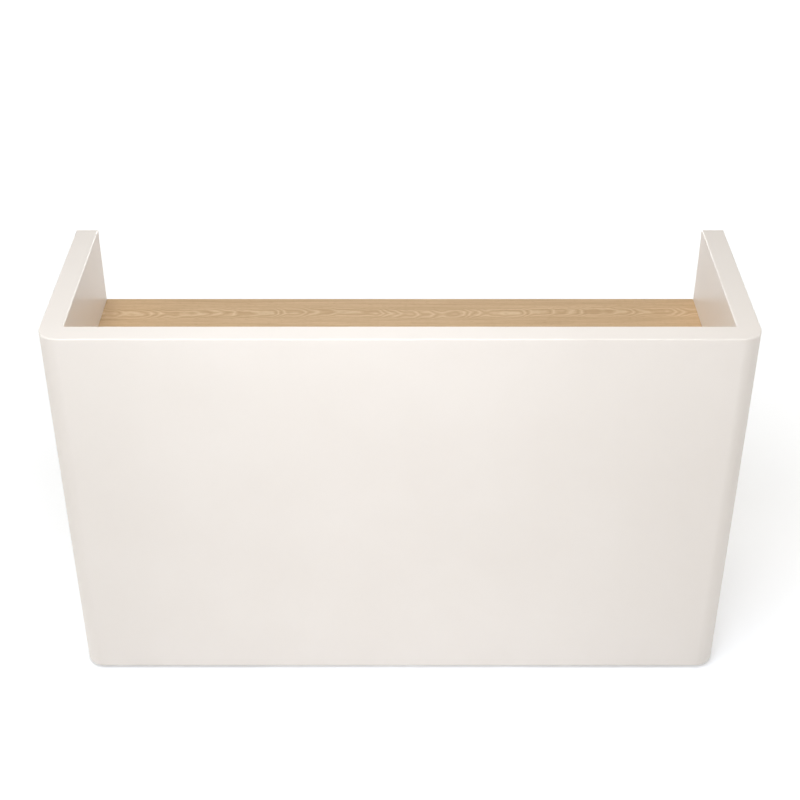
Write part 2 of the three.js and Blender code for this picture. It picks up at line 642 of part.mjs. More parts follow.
/** Cupboard door with its hinges on the wall side, its handle and its magnetic catch. */
function door() {
  const group = new THREE.Group();
  const upright = [UNIT_BASE, SPLIT_Z - REVEAL];
  group.add(piece("door", lacquer(), frontPanel([HINGE_GAP, UNIT_WIDTH], upright, FACE_Y, FRONT)));

  const handlePlace = [UNIT_WIDTH - DOOR_HANDLE_INSET, FACE_Y + GLUE, upright[1] - DOOR_HANDLE_DROP];
  const handle = piece("door_handle", satinNickel(), bowHandle(), handlePlace);
  handle.rotation.y = QUARTER_TURN;
  group.add(handle);

  const hingeHeights = [
    ["door_hinge_upper", upright[1] - HINGE_INSET - LEAF_HEIGHT],
    ["door_hinge_lower", upright[0] + HINGE_INSET],
  ];
  for (const [name, z] of hingeHeights) {
    const hinge = buttHinge(name);
    hinge.position.set(KNUCKLE_RADIUS + GLUE, FACE_Y + KNUCKLE_RADIUS + RUN, z);
    group.add(hinge);
  }

  const strikeY = FACE_Y - FRONT - GLUE - STRIKE;
  const catchX = [BAY - CATCH_INSET - CATCH_WIDTH, BAY - CATCH_INSET];
  const catchZ = [SPLIT_Z - GLUE - CATCH_HEIGHT, SPLIT_Z - GLUE];
  const catchY = [strikeY - RUN - CATCH_DEPTH, strikeY - RUN];
  group.add(board("door_catch", nylon(), catchX, catchY, catchZ));
  const strikeX = [catchX[0] + STRIKE_MARGIN, catchX[1] - STRIKE_MARGIN];
  const strikeZ = [catchZ[0], upright[1] - STRIKE_MARGIN];
  group.add(board("door_strike", zincSteel(), strikeX, [strikeY, strikeY + STRIKE], strikeZ));
  return group;
}

/** Left unit: a drawer over a cupboard, in a frame at the left wall's inner face. */
function drawerUnit() {
  const group = new THREE.Group();
  group.position.x = -INNER_X;
  const across = [GLUE, BAY - GLUE];
  const along = [BACK_Y, EDGE_Y];
  const side = block([BAY, UNIT_WIDTH], along, [FOOT_Z, WORKTOP_Z - GLUE]);
  const bores = glideBores.map((bore) => bore.clone().translate(INNER_X, 0, 0));
  group.add(piece("drawer_unit_side", melamine(), cut(side, ...bores)));
  group.add(board("drawer_unit_floor", melamine(), across, along, [UNIT_BASE, UNIT_BASE + BOARD]));
  group.add(board("drawer_unit_divider", melamine(), across, along, [SPLIT_Z, SPLIT_Z + BOARD]));

  const shelfZ = (UNIT_BASE + SPLIT_Z) / 2;
  const shelfY = [BACK_Y, EDGE_Y - SHELF_SETBACK];
  group.add(board("cupboard_shelf", melamine(), across, shelfY, [shelfZ, shelfZ + BOARD]));
  const railZ = [LOCK_RAIL_Z, WORKTOP_Z - GLUE];
  group.add(board("lock_rail", melamine(), across, [EDGE_Y - BOARD, EDGE_Y], railZ));

  const sidesMiddle = (DRAWER_Z + LOCK_RAIL_Z - DRAWER_HEADROOM) / 2;
  const runnerY = EDGE_Y - RUNNER_SETBACK;
  const length = runnerY - DRAWER_BACK_Y;
  const faces = [0, BAY];
  group.add(...runners("drawer_runner", faces, runnerY, sidesMiddle, DRAWER_RUNNER_HEIGHT, length));
  const drawerGroup = drawer();
  drawerGroup.position.set(BAY / 2, FACE_Y, 0);
  group.add(drawerGroup, door());
  return group;
}

/** Right unit: open shelves, in a frame at the knee space. */
function shelfUnit() {
  const group = new THREE.Group();
  group.position.x = KNEE_X;
  const across = [BOARD + GLUE, UNIT_WIDTH - GLUE];
  const along = [BACK_Y, FACE_Y];
  const side = block([0, BOARD], along, [FOOT_Z, WORKTOP_Z - GLUE]);
  const bores = glideBores.map((bore) => bore.clone().translate(-KNEE_X, 0, 0));
  group.add(piece("shelf_unit_side", melamine(), cut(side, ...bores)));
  group.add(board("shelf_unit_floor", melamine(), across, along, [UNIT_BASE, UNIT_BASE + BOARD]));
  const pitch = (WORKTOP_Z - UNIT_BASE) / (OPEN_SHELVES + 1);
  for (let shelf = 1; shelf <= OPEN_SHELVES; shelf += 1) {
    const low = UNIT_BASE + shelf * pitch;
    group.add(board(`open_shelf_${shelf}`, melamine(), across, along, [low, low + BOARD]));
  }
  return group;
}

/** Keyboard tray on runners between the two units' sides. */
function keyboardTray() {
  const group = new THREE.Group();
  const half = KNEE_X - RUNNER - 2 * GLUE;
  const frontY = REAR_Y - TRAY_SETBACK;
  const backY = frontY - TRAY_DEPTH;
  const trayOutline = (inset) => {
    const radius = TRAY_CORNER - inset;
    const edge = half - inset;
    const shape = new THREE.Shape();
    shape.moveTo(-edge, backY + inset);
    shape.lineTo(edge, backY + inset);
    shape.absarc(half - TRAY_CORNER, frontY - TRAY_CORNER, radius, 0, QUARTER_TURN, false);
    shape.absarc(TRAY_CORNER - half, frontY - TRAY_CORNER, radius, QUARTER_TURN, HALF_TURN, false);
    return shape.getPoints(TRAY_CORNER_STEPS);
  };
  const lowZ = WORKTOP_Z - TRAY_DROP - TRAY;
  group.add(piece("keyboard_tray", oak(), easedSlab(trayOutline, TRAY, EASE, true), [0, 0, lowZ]));
  const faces = [-KNEE_X, KNEE_X];
  const runnerY = frontY - TRAY_RUNNER_SETBACK;
  const middleZ = lowZ + TRAY / 2;
  group.add(...runners("tray_runner", faces, runnerY, middleZ, TRAY_RUNNER_HEIGHT, TRAY_RUNNER_LENGTH));
  return group;
}

const desk = new THREE.Group();
desk.add(walls(), worktop(), drawerUnit(), keyboardTray(), shelfUnit(), glides());

export default desk;
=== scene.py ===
# %% [markdown]
# # A white reception desk
# A sprayed screen wall stands U-shaped round an oak worktop, with storage on the operator's side.
# The imported CAD part is the fixed frame: every node already sits where it belongs, in metres.
# This lesson dresses that frame. Boards get soft edges, round parts get smooth ones, and each
# surface gets the finish of its real material. We start by loading the frame.

# %% Load the frame
import json
import math

import bpy
import numpy as np
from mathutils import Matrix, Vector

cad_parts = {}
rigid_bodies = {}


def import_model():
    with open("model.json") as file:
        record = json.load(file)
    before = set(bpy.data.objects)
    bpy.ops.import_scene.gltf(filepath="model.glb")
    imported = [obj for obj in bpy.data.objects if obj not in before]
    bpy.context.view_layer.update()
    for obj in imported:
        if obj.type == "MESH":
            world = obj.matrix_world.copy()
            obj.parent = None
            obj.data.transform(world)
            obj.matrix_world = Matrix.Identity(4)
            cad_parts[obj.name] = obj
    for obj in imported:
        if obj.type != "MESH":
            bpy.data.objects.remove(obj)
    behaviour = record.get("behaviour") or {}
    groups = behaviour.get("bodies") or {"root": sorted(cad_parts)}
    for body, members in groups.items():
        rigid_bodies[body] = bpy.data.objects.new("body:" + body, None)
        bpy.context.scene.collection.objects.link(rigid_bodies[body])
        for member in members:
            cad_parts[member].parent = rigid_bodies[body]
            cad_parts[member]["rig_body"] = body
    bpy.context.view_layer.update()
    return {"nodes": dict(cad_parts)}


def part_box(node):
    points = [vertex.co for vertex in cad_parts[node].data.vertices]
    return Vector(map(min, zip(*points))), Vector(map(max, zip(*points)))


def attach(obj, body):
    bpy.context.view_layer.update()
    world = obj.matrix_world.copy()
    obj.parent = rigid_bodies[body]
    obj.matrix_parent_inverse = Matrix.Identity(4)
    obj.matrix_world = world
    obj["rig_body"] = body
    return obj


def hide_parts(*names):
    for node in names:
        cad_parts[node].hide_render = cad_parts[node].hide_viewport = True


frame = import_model()
nodes = frame["nodes"]
MM = 0.001

# %% [markdown]
# ## Tools for materials
# A material is a small graph of nodes. It could be clicked together, but in code four helpers are
# enough: one turns a colour into the linear light that Blender mixes, one adds a node with its
# links, and two begin and close a surface. Patterns read Object coordinates, in metres on the desk
# itself, so a pattern of 7 mm is a noise with a scale of 1 / 7 mm.

# %% Colour and node helpers
FROM, TO, MIXED = 6, 7, 2  # sockets of a Mix node that is set to colours


def linear(code):
    """sRGB hex to linear RGBA: a straight foot for the darkest tones, and a 2.4 power above it."""
    srgb = np.array([int(code[i:i + 2], 16) for i in (0, 2, 4)]) / 255
    return (*np.where(srgb <= 0.04045, srgb / 12.92, ((srgb + 0.055) / 1.055) ** 2.4), 1.0)


def add(tree, kind, inputs=None, **settings):
    """A shader node of that kind. An input takes a socket, to be linked, or a plain value."""
    made = tree.nodes.new("ShaderNode" + kind)
    for name, value in settings.items():
        setattr(made, name, value)
    for name, value in (inputs or {}).items():
        if isinstance(value, bpy.types.NodeSocket):
            tree.links.new(value, made.inputs[name])
        else:
            made.inputs[name].default_value = value
    return made


def new_material(name, **values):
    """Material, its tree, its shader with plain values set, and the Object coordinates' socket."""
    material = bpy.data.materials.new(name)
    material.use_nodes = True
    tree = material.node_tree
    shader = tree.nodes["Principled BSDF"]
    for socket, value in values.items():
        shader.inputs[socket].default_value = value
    return material, tree, shader, add(tree, "TexCoord").outputs["Object"]


def link_surface(tree, shader, colour, gloss, bump):
    """Links Mix, Map Range and Bump nodes to the three inputs that vary on every surface here."""
    tree.links.new(colour.outputs[MIXED], shader.inputs["Base Color"])
    tree.links.new(gloss.outputs["Result"], shader.inputs["Roughness"])
    tree.links.new(bump.outputs["Normal"], shader.inputs["Normal"])


print("helpers: linear, add, new_material, link_surface")

# %% [markdown]
# ## Sprayed lacquer
# The walls, the drawer front and the door are MDF, sprayed with warm white satin polyurethane. Such
# a coat is never flat: it has orange peel from the spray gun, cloudy tone from the primer, and
# lighter paint along its rounded edges, partly rubbed down and partly a painted highlight. An image
# of paint would repeat over 1.6 m, so these come from noise and from each mesh's own edge value,
# which is 1 along its edges. Real peel is 2 mm wide, drawn 8 mm to show.

# %% Satin lacquer
CLOUD = 260 * MM
PEEL = 8 * MM
PEEL_DEPTH = 0.25 * MM
RUBBED_AND_HIGHLIGHT = 0.2  # how far an edge goes towards its lighter tone: rubbed paint and a painted highlight
# To the eye: an almost even warm white with broad, soft highlights.
lacquer, tree, shader, place = new_material("satin_polyurethane_lacquer", IOR=1.5)
cloud = add(tree, "TexNoise", {"Vector": place, "Scale": 1 / CLOUD, "Detail": 3.0})
peel = add(tree, "TexNoise", {"Vector": place, "Scale": 1 / PEEL})
wear_and_highlight = add(tree, "Attribute", attribute_name="wear_and_highlight")
coat = add(tree, "Mix", {"Factor": cloud.outputs["Fac"], FROM: linear("efe8e1"),
                         TO: linear("f5efe9")}, data_type="RGBA")
# The lighter edge tone is partly rubbed paint and partly a painted highlight along each round.
edge_share = add(tree, "Math", {0: wear_and_highlight.outputs["Fac"], 1: RUBBED_AND_HIGHLIGHT}, operation="MULTIPLY")
edge = add(tree, "Mix", {"Factor": edge_share.outputs[0], TO: linear("fbf7f1"),
                         FROM: coat.outputs[MIXED]}, data_type="RGBA")
gloss = add(tree, "MapRange", {"Value": cloud.outputs["Fac"], "To Min": 0.3, "To Max": 0.42})
bump = add(tree, "Bump", {"Strength": 0.12, "Distance": PEEL_DEPTH, "Height": peel.outputs["Fac"]})
link_surface(tree, shader, edge, gloss, bump)
print("material:", lacquer.name)

# %% [markdown]
# ## Oak: growth rings
# The worktop is board with a light oak face, matt and sealed, its grain along the desk. Flat-sawn
# oak shows nested arches, because the saw climbs slowly through growth rings that bulge towards the
# surface. A picture of veneer could be laid on, but arches are easy to write down: the ring number
# is a bow, the square of the distance from a stave's middle line, plus a climb along the stave,
# plus a slow noise. Lines of equal ring number are then arches, and close into ovals where the
# noise outruns the climb. Chance moves each stave along the log, so that no two are alike.

# %% Growth rings
STAVE = 150 * MM
STAVE_JOINT = 40 * MM  # a joint lies this far on the visitor's side of the desk's middle
LOG = 5.3  # metres of log that the staves come from
WANDER, SWAY = 560 * MM, 60 * MM  # length over which a stave's middle line sways, and how far
BOW = 3000.0  # rings for a square metre of bow, so a stave's outer lines lie about 2 mm apart
CLIMB = 21.0  # rings per metre along the stave
FLAME, FLAME_LENGTH = 6.0, 130 * MM  # rings that the slow noise adds, and over what length
# Noise drawn out along the grain: its length and width in mm.
GRAIN = {"ripple": (60, 12), "streak": (420, 11), "fibre": (120, 2.8), "pore": (18, 1.0)}
# To the eye: a pale, silky wood with fine fibres, and arches that show from a step away.
oak, tree, shader, place = new_material("light_oak_matt_sealed", IOR=1.5)
split = add(tree, "SeparateXYZ", {"Vector": place}).outputs
staves = add(tree, "Math", {0: split["Y"], 1: 1 / STAVE, 2: STAVE_JOINT / STAVE},
             operation="MULTIPLY_ADD")
number = add(tree, "Math", {0: staves.outputs[0]}, operation="FLOOR")
part = add(tree, "Math", {0: staves.outputs[0]}, operation="FRACT")
chance = add(tree, "TexWhiteNoise", {"W": number.outputs[0]}, noise_dimensions="1D")
along = add(tree, "Math", {0: chance.outputs["Value"], 1: LOG, 2: split["X"]},
            operation="MULTIPLY_ADD").outputs[0]
grain_place = add(tree, "CombineXYZ", {"X": along, "Y": split["Y"], "Z": split["Z"]})
drawn_out = {}
for name, (length, width) in GRAIN.items():
    scale = (1 / (length * MM), 1 / (width * MM), 1 / (width * MM))
    stretch = add(tree, "Mapping", {"Vector": grain_place.outputs[0], "Scale": scale})
    threads = add(tree, "TexNoise", {"Vector": stretch.outputs[0], "Scale": 1.0})
    drawn_out[name] = threads.outputs["Fac"]
wander = add(tree, "TexNoise", {"W": along, "Scale": 1 / WANDER}, noise_dimensions="1D")
sway = add(tree, "Math", {0: wander.outputs["Fac"], 1: SWAY, 2: -(SWAY + STAVE) / 2},
           operation="MULTIPLY_ADD")
aside = add(tree, "Math", {0: part.outputs[0], 1: STAVE, 2: sway.outputs[0]},
            operation="MULTIPLY_ADD").outputs[0]
square = add(tree, "Math", {0: aside, 1: aside}, operation="MULTIPLY").outputs[0]
flame = add(tree, "TexNoise", {"W": along, "Scale": 1 / FLAME_LENGTH}, noise_dimensions="1D")
rings = drawn_out["ripple"]
for source, count in ((square, BOW), (along, CLIMB), (flame.outputs["Fac"], FLAME)):
    rings = add(tree, "Math", {0: source, 1: count, 2: rings}, operation="MULTIPLY_ADD").outputs[0]
print("growth rings in staves of", STAVE / MM, "mm")

# %% [markdown]
# ## Oak: colour
# Early wood is pale and full of pores, late wood is dark and dense. A sine of the ring number
# swings between the two, with the palest lines over the heart of each stave. Streaks, fibres and
# the luck of each stave set the tone in between. We could drive one long colour ramp, but mixing
# one effect at a time keeps each easy to change. Real pores are 0.3 mm wide, drawn 1 mm to show.

# %% Oak face
DARK_LINE, PALE_LINE, PALE_EDGE = 0.36, 0.32, 0.05  # strongest mix of the lines' colours
HEART = 24 * MM  # half width of the paler heart of a stave
PORE_MIX = 0.5
STREAK, STAVE_LUCK = 0.6, 0.14  # weights beside the fibres' noise
FIBRE_DEPTH = 0.15 * MM
angle = add(tree, "Math", {0: rings, 1: 2 * math.pi}, operation="MULTIPLY")
wave = add(tree, "Math", {0: angle.outputs[0]}, operation="SINE").outputs[0]
dark = add(tree, "MapRange", {"Value": wave, "From Min": -0.2, "From Max": -1.0,
                              "To Min": 0.0, "To Max": DARK_LINE}, interpolation_type="SMOOTHSTEP")
crest = add(tree, "MapRange", {"Value": wave, "From Min": 0.2, "From Max": 1.0},
            interpolation_type="SMOOTHSTEP")
heart = add(tree, "MapRange", {"Value": square, "From Min": 0.0, "From Max": HEART ** 2,
                               "To Min": PALE_LINE, "To Max": PALE_EDGE})
pale = add(tree, "Math", {0: crest.outputs["Result"], 1: heart.outputs["Result"]},
           operation="MULTIPLY")
pores = add(tree, "MapRange", {"Value": drawn_out["pore"], "From Min": 0.58,
                               "From Max": 0.66, "To Min": 0.0, "To Max": PORE_MIX})
mingled = add(tree, "Math", {0: drawn_out["streak"], 1: STREAK, 2: drawn_out["fibre"]},
              operation="MULTIPLY_ADD")
staved = add(tree, "Math", {0: chance.outputs["Value"], 1: STAVE_LUCK,
                            2: mingled.outputs[0]}, operation="MULTIPLY_ADD")
tone = add(tree, "MapRange", {"Value": staved.outputs[0], "From Min": 0.57, "From Max": 1.17})
wood = add(tree, "Mix", {"Factor": tone.outputs["Result"], FROM: linear("bd9d74"),
                         TO: linear("d7b993")}, data_type="RGBA")
for amount, code in ((dark.outputs["Result"], "ab8558"), (pale.outputs[0], "ecd6b1"),
                     (pores.outputs["Result"], "a47f54")):
    wood = add(tree, "Mix", {"Factor": amount, FROM: wood.outputs[MIXED],
                             TO: linear(code)}, data_type="RGBA")
gloss = add(tree, "MapRange", {"Value": drawn_out["fibre"], "To Min": 0.42, "To Max": 0.6})
bump = add(tree, "Bump", {"Strength": 0.2, "Distance": FIBRE_DEPTH, "Height": drawn_out["fibre"]})
link_surface(tree, shader, wood, gloss, bump)
print("material:", oak.name)

# %% [markdown]
# ## Board, plastic and metal
# The rest of the desk is stock material. Melamine faced board is pressed against a pearl textured
# plate, and its edge strips show as faintly greyer lines. Bare MDF inside the walls is sawn fibre,
# rough and brown. The cable outlet is grey ABS from a spark-eroded mould, so it is dull; the glides
# are black nylon with a faint sheen. Runners are zinc plated steel, with the plating's soft
# blotches, and handles are satin nickel, an even soft shine. Six graphs could be drawn by hand, but
# they share one recipe, so one table holds what differs. Textures that are really finer than 2 mm
# are drawn a little coarser to show.

# %% Stock materials
STOCK = {  # two tones, patch and texture in mm, roughness from and to, edge tone, relief, metal
    "white_pearl_melamine": ("e9e5e0", "f1eeea", 180, 5, 0.38, 0.5, "d8d3cc", 0.1, 0),
    "sawn_bare_mdf": ("a98a66", "c4a581", 12, 4, 0.8, 0.95, "9a7b59", 0.4, 0),
    "spark_eroded_grey_abs": ("82807d", "918f8c", 30, 2.5, 0.45, 0.6, "a5a3a0", 0.3, 0),
    "moulded_black_nylon": ("232324", "303032", 20, 3, 0.45, 0.6, "48484a", 0.2, 0),
    "zinc_plated_steel": ("a9abad", "c3c5c7", 14, 6, 0.28, 0.48, "d2d3d4", 0.1, 1),
    "satin_nickel_plate": ("b2aca3", "bab4ab", 30, 1.5, 0.26, 0.32, "d6d1c9", 0.02, 1),
}
STOCK_RUBBED = 0.8
STOCK_DEPTH = 0.3 * MM
stock = {}
for name, row in STOCK.items():
    first, second, patch, texture, smooth, rough, edge_tone, relief, metal = row
    material, tree, shader, place = new_material(name, Metallic=metal)
    cloud = add(tree, "TexNoise", {"Vector": place, "Scale": 1 / (patch * MM), "Detail": 4.0})
    grit = add(tree, "TexNoise", {"Vector": place, "Scale": 1 / (texture * MM)})
    wear_and_highlight = add(tree, "Attribute", attribute_name="wear_and_highlight")
    face = add(tree, "Mix", {"Factor": cloud.outputs["Fac"], FROM: linear(first),
                             TO: linear(second)}, data_type="RGBA")
    edge_share = add(tree, "Math", {0: wear_and_highlight.outputs["Fac"], 1: STOCK_RUBBED}, operation="MULTIPLY")
    edge = add(tree, "Mix", {"Factor": edge_share.outputs[0], TO: linear(edge_tone),
                             FROM: face.outputs[MIXED]}, data_type="RGBA")
    gloss = add(tree, "MapRange", {"Value": grit.outputs["Fac"], "To Min": smooth, "To Max": rough})
    bump = add(tree, "Bump", {"Strength": relief, "Distance": STOCK_DEPTH,
                              "Height": grit.outputs["Fac"]})
    link_surface(tree, shader, edge, gloss, bump)
    stock[name] = material
melamine, mdf, abs_plastic, nylon, zinc, nickel = stock.values()
print("materials:", ", ".join(STOCK))

# %% [markdown]
# ## From rings to a mesh
# Every new piece is a stack of rings: outlines with the same number of points, one above the other,
# with quads between them. A board, a turned foot and a bent bar differ only in their rings, so one
# function skins them all. Blender's primitives with a Bevel modifier would also do, but rings put
# each edge exactly where we want it, and each ring can mark its edge, which shows as wear and, on
# the lacquer, as a painted highlight.

# %% Skinning rings
SHARP = 40.0  # degrees between two faces, from which their edge is shaded sharp


def skin(rings, closed=False):
    """Points and blocks of faces of a stack of rings, an (m, n, 3) array. A quad joins point i and
    i + 1 of a ring to the same two of the next. The ends get a flat face each, or the stack closes
    on itself."""
    count, around = rings.shape[:2]
    index = np.arange(count * around).reshape(count, around)
    low, high = (index, np.roll(index, -1, 0)) if closed else (index[:-1], index[1:])
    quads = np.stack([low, np.roll(low, -1, 1), np.roll(high, -1, 1), high], -1).reshape(-1, 4)
    ends = [] if closed else [index[:1, ::-1], index[-1:]]
    return rings.reshape(-1, 3), [quads, *ends]


def turn_to(points, axis):
    """Points (u, v, w) with w laid along an axis of the desk, 0, 1 or 2, and u and v following it
    in the order x, y, z. Rolling the columns keeps the shape right-handed."""
    return np.roll(points, axis + 1, axis=-1)


def into_scene(name, data):
    """An object at the origin that shows a mesh, a lamp or a camera."""
    made = bpy.data.objects.new(name, data)
    bpy.context.scene.collection.objects.link(made)
    return made


def piece(name, parts, material, stands_for=(), body=None):
    """One object from parts, each its points, its blocks of faces and the edge mark of every point,
    which shows as wear, and on the lacquer as a painted highlight.
    It rides on its CAD nodes' body, or on the body that is named."""
    starts = np.cumsum([0] + [len(points) for points, _, _ in parts])
    faces = sum(((block + start).tolist() for start, (_, blocks, _) in zip(starts, parts)
                 for block in blocks), [])
    mesh = bpy.data.meshes.new(name)
    mesh.from_pydata(np.concatenate([part[0] for part in parts]).tolist(), [], faces)
    mesh.attributes.new("wear_and_highlight", "FLOAT", "POINT").data.foreach_set(
        "value", np.concatenate([part[2] for part in parts]).astype(np.float32))
    mesh.polygons.foreach_set("use_smooth", np.ones(len(mesh.polygons), bool))
    mesh.set_sharp_from_angle(angle=math.radians(SHARP))
    mesh.materials.append(material)
    made = into_scene(name, mesh)
    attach(made, body or nodes[stands_for[0]]["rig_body"])
    if stands_for:
        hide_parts(*stands_for)


print("helpers: skin, turn_to, into_scene, piece")

# %% [markdown]
# ## Slabs with softened edges
# A sawn edge is never a true corner: it is sanded, or has a strip with a rounded edge, and that
# small round catches the light. A Bevel modifier could round it, but not mark it. So a slab
# is its outline at several insets: full size at mid height, shrinking along a quarter circle
# towards each face. One more ring, 1 mm inside each face, keeps the flat faces' shading flat.
# The edge mark is 1 on the round, and 0 elsewhere; it shows as wear and, on the lacquer, as a
# painted highlight.

# %% Slabs
HOLD = 1.0 * MM  # from a rounded edge to the ring that keeps the face flat
ROUND_STEPS = 4  # facets of a rounded edge
HOLD_SHARE = 0.4  # most of a thin slab's side that the ring below an edge may take


def inset(outline, by):
    """Outline of (n, 2) points, anticlockwise, moved inwards: each point slides along the sum of
    its two sides' unit normals, divided by 1 plus their dot product, so all sides move alike."""
    sides = np.roll(outline, -1, 0) - outline
    normals = np.stack([-sides[:, 1], sides[:, 0]], 1) / np.linalg.norm(sides, axis=1)[:, None]
    before = np.roll(normals, 1, 0)
    return outline + by * (normals + before) / (1 + (normals * before).sum(1))[:, None]


def edge_rings(ease, hold, side_hold):
    """Insets, depths below the face and edge mark of the rings of one edge, from the side to the
    face: a quarter circle, inset = ease (1 - cos t), depth = ease (1 - sin t), between two held
    rings.
    The mark shows as wear, and on the lacquer as a painted highlight."""
    turn = np.linspace(0, math.pi / 2, ROUND_STEPS + 1) if ease else np.zeros(1)
    inset_by = np.concatenate([[0], ease * (1 - np.cos(turn)), [ease + hold]])
    depth = np.concatenate([[ease + side_hold], ease * (1 - np.sin(turn)), [0]])
    return inset_by, depth, np.concatenate([[0], np.full(len(turn), float(ease > 0)), [0]])


def slab(outline, low, high, ease_low, ease_high, axis=2, hold=HOLD, side_hold=HOLD):
    """Slab over an outline between two heights along an axis, with rounded edges: the outline is
    repeated at the insets and heights of the lower edge's rings and of the upper edge's."""
    side_hold = min(side_hold, HOLD_SHARE * (high - low - ease_low - ease_high))
    by_low, depth_low, mark_low = (v[::-1] for v in edge_rings(ease_low, hold, side_hold))
    by_high, depth_high, mark_high = edge_rings(ease_high, hold, side_hold)
    by = np.concatenate([by_low, by_high])
    heights = np.concatenate([low + depth_low, high - depth_high])
    rings = np.stack([np.column_stack([inset(outline, b), np.full(len(outline), h)])
                      for b, h in zip(by, heights)])
    points, faces = skin(turn_to(rings, axis))
    return points, faces, np.repeat(np.concatenate([mark_low, mark_high]), len(outline))


print("helpers: inset, edge_rings, slab")

# %% [markdown]
# ## Boards
# Most of the desk is flat board: a slab over a rectangle, through its thinnest side. A cube could
# be scaled to do this, but scaling would stretch its rounded edges too. The outline has quarter
# circles at its corners, a little larger than the edge's round, so that the innermost ring still
# has sides. The CAD node's own box gives size and place.

# %% Boards
BOARD_CORNER_STEPS = 5
CORNER_SLACK = 0.2 * MM  # by which a corner's circle is larger than the deepest inset


def rectangle(low, high, radii):
    """Anticlockwise rectangle with a quarter circle at each corner, from the low-v end of high u:
    each corner's centre lies a radius inside it, and its points at radius (cos a, sin a)."""
    quarter = np.linspace(0, math.pi / 2, BOARD_CORNER_STEPS + 1)
    angles = quarter + np.arange(-1, 3)[:, None] * math.pi / 2
    radii = np.broadcast_to(radii, 4)[:, None]
    signs = np.array([[1, -1], [1, 1], [-1, 1], [-1, -1]])
    corners = np.where(signs > 0, high, low)
    u = corners[:, :1] - signs[:, :1] * radii + radii * np.cos(angles)
    v = corners[:, 1:] - signs[:, 1:] * radii + radii * np.sin(angles)
    return np.stack([u.ravel(), v.ravel()], 1)


def board(low, high, ease, corner=0.0, ease_low=None):
    """Board between two corners of a box: a slab over a rectangle, through its thinnest side."""
    low, high = np.array(low), np.array(high)
    axis = int(np.argmin(high - low))
    u, v = (axis + 1) % 3, (axis + 2) % 3
    radius = np.maximum(corner, ease + HOLD + CORNER_SLACK)
    outline = rectangle(low[[u, v]], high[[u, v]], radius)
    return slab(outline, low[axis], high[axis], ease if ease_low is None else ease_low, ease, axis)


print("helpers: rectangle, board")

# %% [markdown]
# ## The screen wall
# The visitor sees one seamless white body, because its joints are filled before spraying. Outside
# it is a 9 mm skin bent round two corners of 48 mm radius; on top lies the rim, 18 mm thick, with
# square inner corners and a 3 mm round along its upper edges. A box with beveled corners would come
# close, but the wall is open behind. In plan both are a U: round the right corner, up its side and
# back inside, and the same mirrored. Each corner gets 28 facets, so that it shades smoothly. The
# skin runs up to the rim and back to the end strips, with no gap to cast a line.

# %% Screen wall
CORNER_RADIUS = 48 * MM
CORNER_STEPS = 28
SKIN = 9 * MM
RIM_EASE = 3 * MM
FOOT_EASE = 1 * MM
FOOT_WEAR_AND_HIGHLIGHT = 4 * MM  # height over which the foot's lighter band, rubbed paint and a painted highlight, fades into the face
FILLED_EASE = 0.15 * MM  # of a joint that is filled and sprayed over
FRONT_EASE = 1.5 * MM  # of end strips, fronts and the tray


def u_outline(low, high, thickness, inner_radius):
    """Plan of a U-shaped strip, open towards +Y: two quarter circles outside and, if inner_radius
    isn't 0, two inside on the same centres, each centre + radius (sin t, -cos t)."""
    turn = np.linspace(0, math.pi / 2, CORNER_STEPS + 1)
    quarter = np.stack([np.sin(turn), -np.cos(turn)], 1)
    middle = np.array([[high[0] - CORNER_RADIUS, low[1] + CORNER_RADIUS]])
    if inner_radius:
        inner = middle + inner_radius * quarter
    else:
        inner = np.array([[high[0] - thickness, low[1] + thickness]])
    ends = np.array([[high[0], high[1]], [high[0] - thickness, high[1]]])
    half = np.concatenate([middle + CORNER_RADIUS * quarter, ends, inner[::-1]])
    return np.concatenate([half, (half * [-1, 1])[::-1]])


skin_low, skin_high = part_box("outer_skin")
rim_low, rim_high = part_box("rim_cap")
strip_low, strip_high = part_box("left_end_strip")
wall = rim_high.x + strip_high.x  # the left strip's inner side lies at minus the right wall's
skin_outline = u_outline(skin_low, (skin_high.x, strip_low.y), SKIN, CORNER_RADIUS - SKIN)
# The rounded foot gets the lacquer's lighter edge tone over a wider band: rubbed paint and a painted
# highlight.
bent = slab(skin_outline, skin_low.z, rim_low.z, FOOT_EASE, 0, side_hold=FOOT_WEAR_AND_HIGHLIGHT)
piece("outer_skin_sprayed", [bent], lacquer, ["outer_skin"])
rim = slab(u_outline(rim_low, rim_high, wall, 0), rim_low.z, rim_high.z, 0, RIM_EASE)
piece("rim_cap_sprayed", [rim], lacquer, ["rim_cap"])
for node in ("front_inner_skin", "left_inner_skin", "right_inner_skin"):
    low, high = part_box(node)
    inner = board(low, (high.x, high.y, rim_low.z), FILLED_EASE)
    piece(node + "_sprayed", [inner], lacquer, [node])
for node in ("left_end_strip", "right_end_strip"):
    low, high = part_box(node)
    strip = board(low, (high.x, high.y, rim_low.z), FRONT_EASE, ease_low=0)
    piece(node + "_sprayed", [strip], lacquer, [node])
print("screen wall:", round(wall / MM, 1), "mm thick")

# %% [markdown]
# ## Worktop and drawer front, each with a hole
# A board with a hole is a ring: its cross-section, carried once round the hole, closes on itself.
# So the same skinning works if the stack of rings goes up the outer edges, inwards over the face,
# down the bore and back under. Each ray from the hole's middle gives one point on the rectangle and
# one on the bore. This saves a boolean, which would leave long thin triangles.

# %% Bored boards
RAYS = 96
TINY = 1e-9  # keeps a ray along one side from a division by nothing


